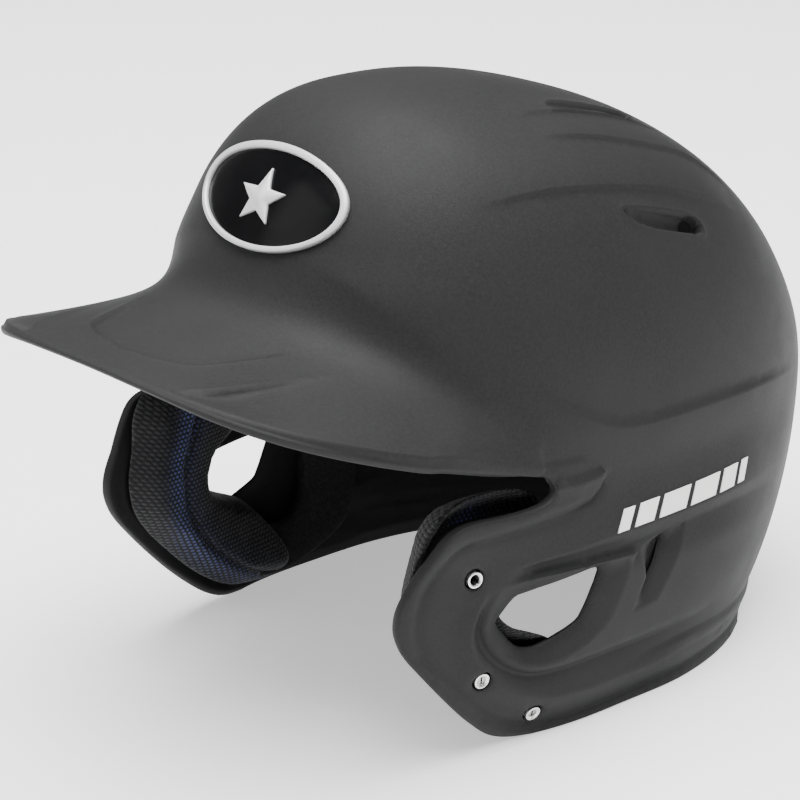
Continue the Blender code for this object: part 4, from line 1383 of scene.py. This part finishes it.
CAMERA_AZIMUTH, CAMERA_ELEVATION, CAMERA_ROLL = 49.16, 18.70, -0.735
CAMERA_DISTANCE = 0.9523
CAMERA_FOCAL = 3.185
CAMERA_CENTRE = (0.525125, 0.447)
CAMERA_TARGET = Vector((0, 0, 0.115))
FLOOR_HALF = 60.0
FLOOR_GLOW = 0.60
WORLD_STRENGTH = 0.28


def set_camera():
    azimuth, elevation, roll = (math.radians(x) for x in (CAMERA_AZIMUTH, CAMERA_ELEVATION, CAMERA_ROLL))
    level = math.cos(elevation)
    back = Vector((math.sin(azimuth) * level, -math.cos(azimuth) * level, math.sin(elevation)))
    right = Vector((math.cos(azimuth), math.sin(azimuth), 0))
    up = back.cross(right)
    turned_right = math.cos(roll) * right + math.sin(roll) * up
    turned_up = -math.sin(roll) * right + math.cos(roll) * up
    data = bpy.data.cameras.new("camera")
    data.sensor_width = 36
    data.lens = CAMERA_FOCAL * 36
    data.shift_x = 0.5 - CAMERA_CENTRE[0]
    data.shift_y = CAMERA_CENTRE[1] - 0.5
    data.clip_start, data.clip_end = 0.05, 50
    camera = linked("camera", data)
    place = CAMERA_TARGET + SHIFT + back * CAMERA_DISTANCE
    camera.matrix_world = Matrix.Translation(place) @ Matrix((turned_right, turned_up, back)).transposed().to_4x4()
    bpy.context.scene.camera = camera


def area_light(name, place, aim, size, power):
    data = bpy.data.lights.new(name, "AREA")
    data.shape = "RECTANGLE"
    data.size = data.size_y = size
    data.energy = power
    light = linked(name, data)
    light.location = place
    light.rotation_euler = (Vector(place) - Vector(aim)).to_track_quat("Z", "Y").to_euler()


def make_stage():
    n = Nodes("pale_floor")
    paper = n.noise(40, 3)
    color = n.mix(paper, (0.80, 0.80, 0.80), (0.82, 0.82, 0.82))
    material = n.finish(color, n.ramp(paper, [(0.3, 0.80), (0.7, 0.90)]), n.bump(n.noise(600), 0.02, 0.0002),
                        Emission_Color=(1.0, 1.0, 1.0, 1.0), Emission_Strength=FLOOR_GLOW)
    mesh = bpy.data.meshes.new("floor")
    corners = [(x * FLOOR_HALF, y * FLOOR_HALF, 0) for x, y in ((-1, -1), (1, -1), (1, 1), (-1, 1))]
    mesh.from_pydata(corners, [], [(0, 1, 2, 3)])
    mesh.materials.append(material)
    floor = linked("floor", mesh)
    world = bpy.data.worlds.new("studio")
    world.use_nodes = True
    background = world.node_tree.nodes["Background"]
    background.inputs["Color"].default_value = (0.93, 0.93, 0.93, 1)
    background.inputs["Strength"].default_value = WORLD_STRENGTH
    bpy.context.scene.world = world
    area_light("top_soft_box", (0.1, -0.2, 2.6), (0, 0, 0.15), 3.0, 320)
    area_light("front_soft_box", (-0.9, -1.5, 1.0), (0, 0, 0.12), 1.0, 6)


LOOKS = {"shell": matte_plastic(), "foam": foam(), "fabric": mesh_fabric(), "piping": piping(), "thread": thread(),
         "zinc": zinc_steel(), "plate": gloss_black(), "silver": silver_trim(), "white": white_print()}


def main():
    set_camera()
    finish_piece(make_shell(), ["shell"], LOOKS["shell"])
    for make in (make_jaw_pad, make_side_pad):
        for side, suffix in SIDES:
            make(suffix, side)
    make_middle_pads()
    make_badge()
    for side, suffix in SIDES:
        make_stripe(suffix, side)
    make_inserts()
    make_stage()


main()
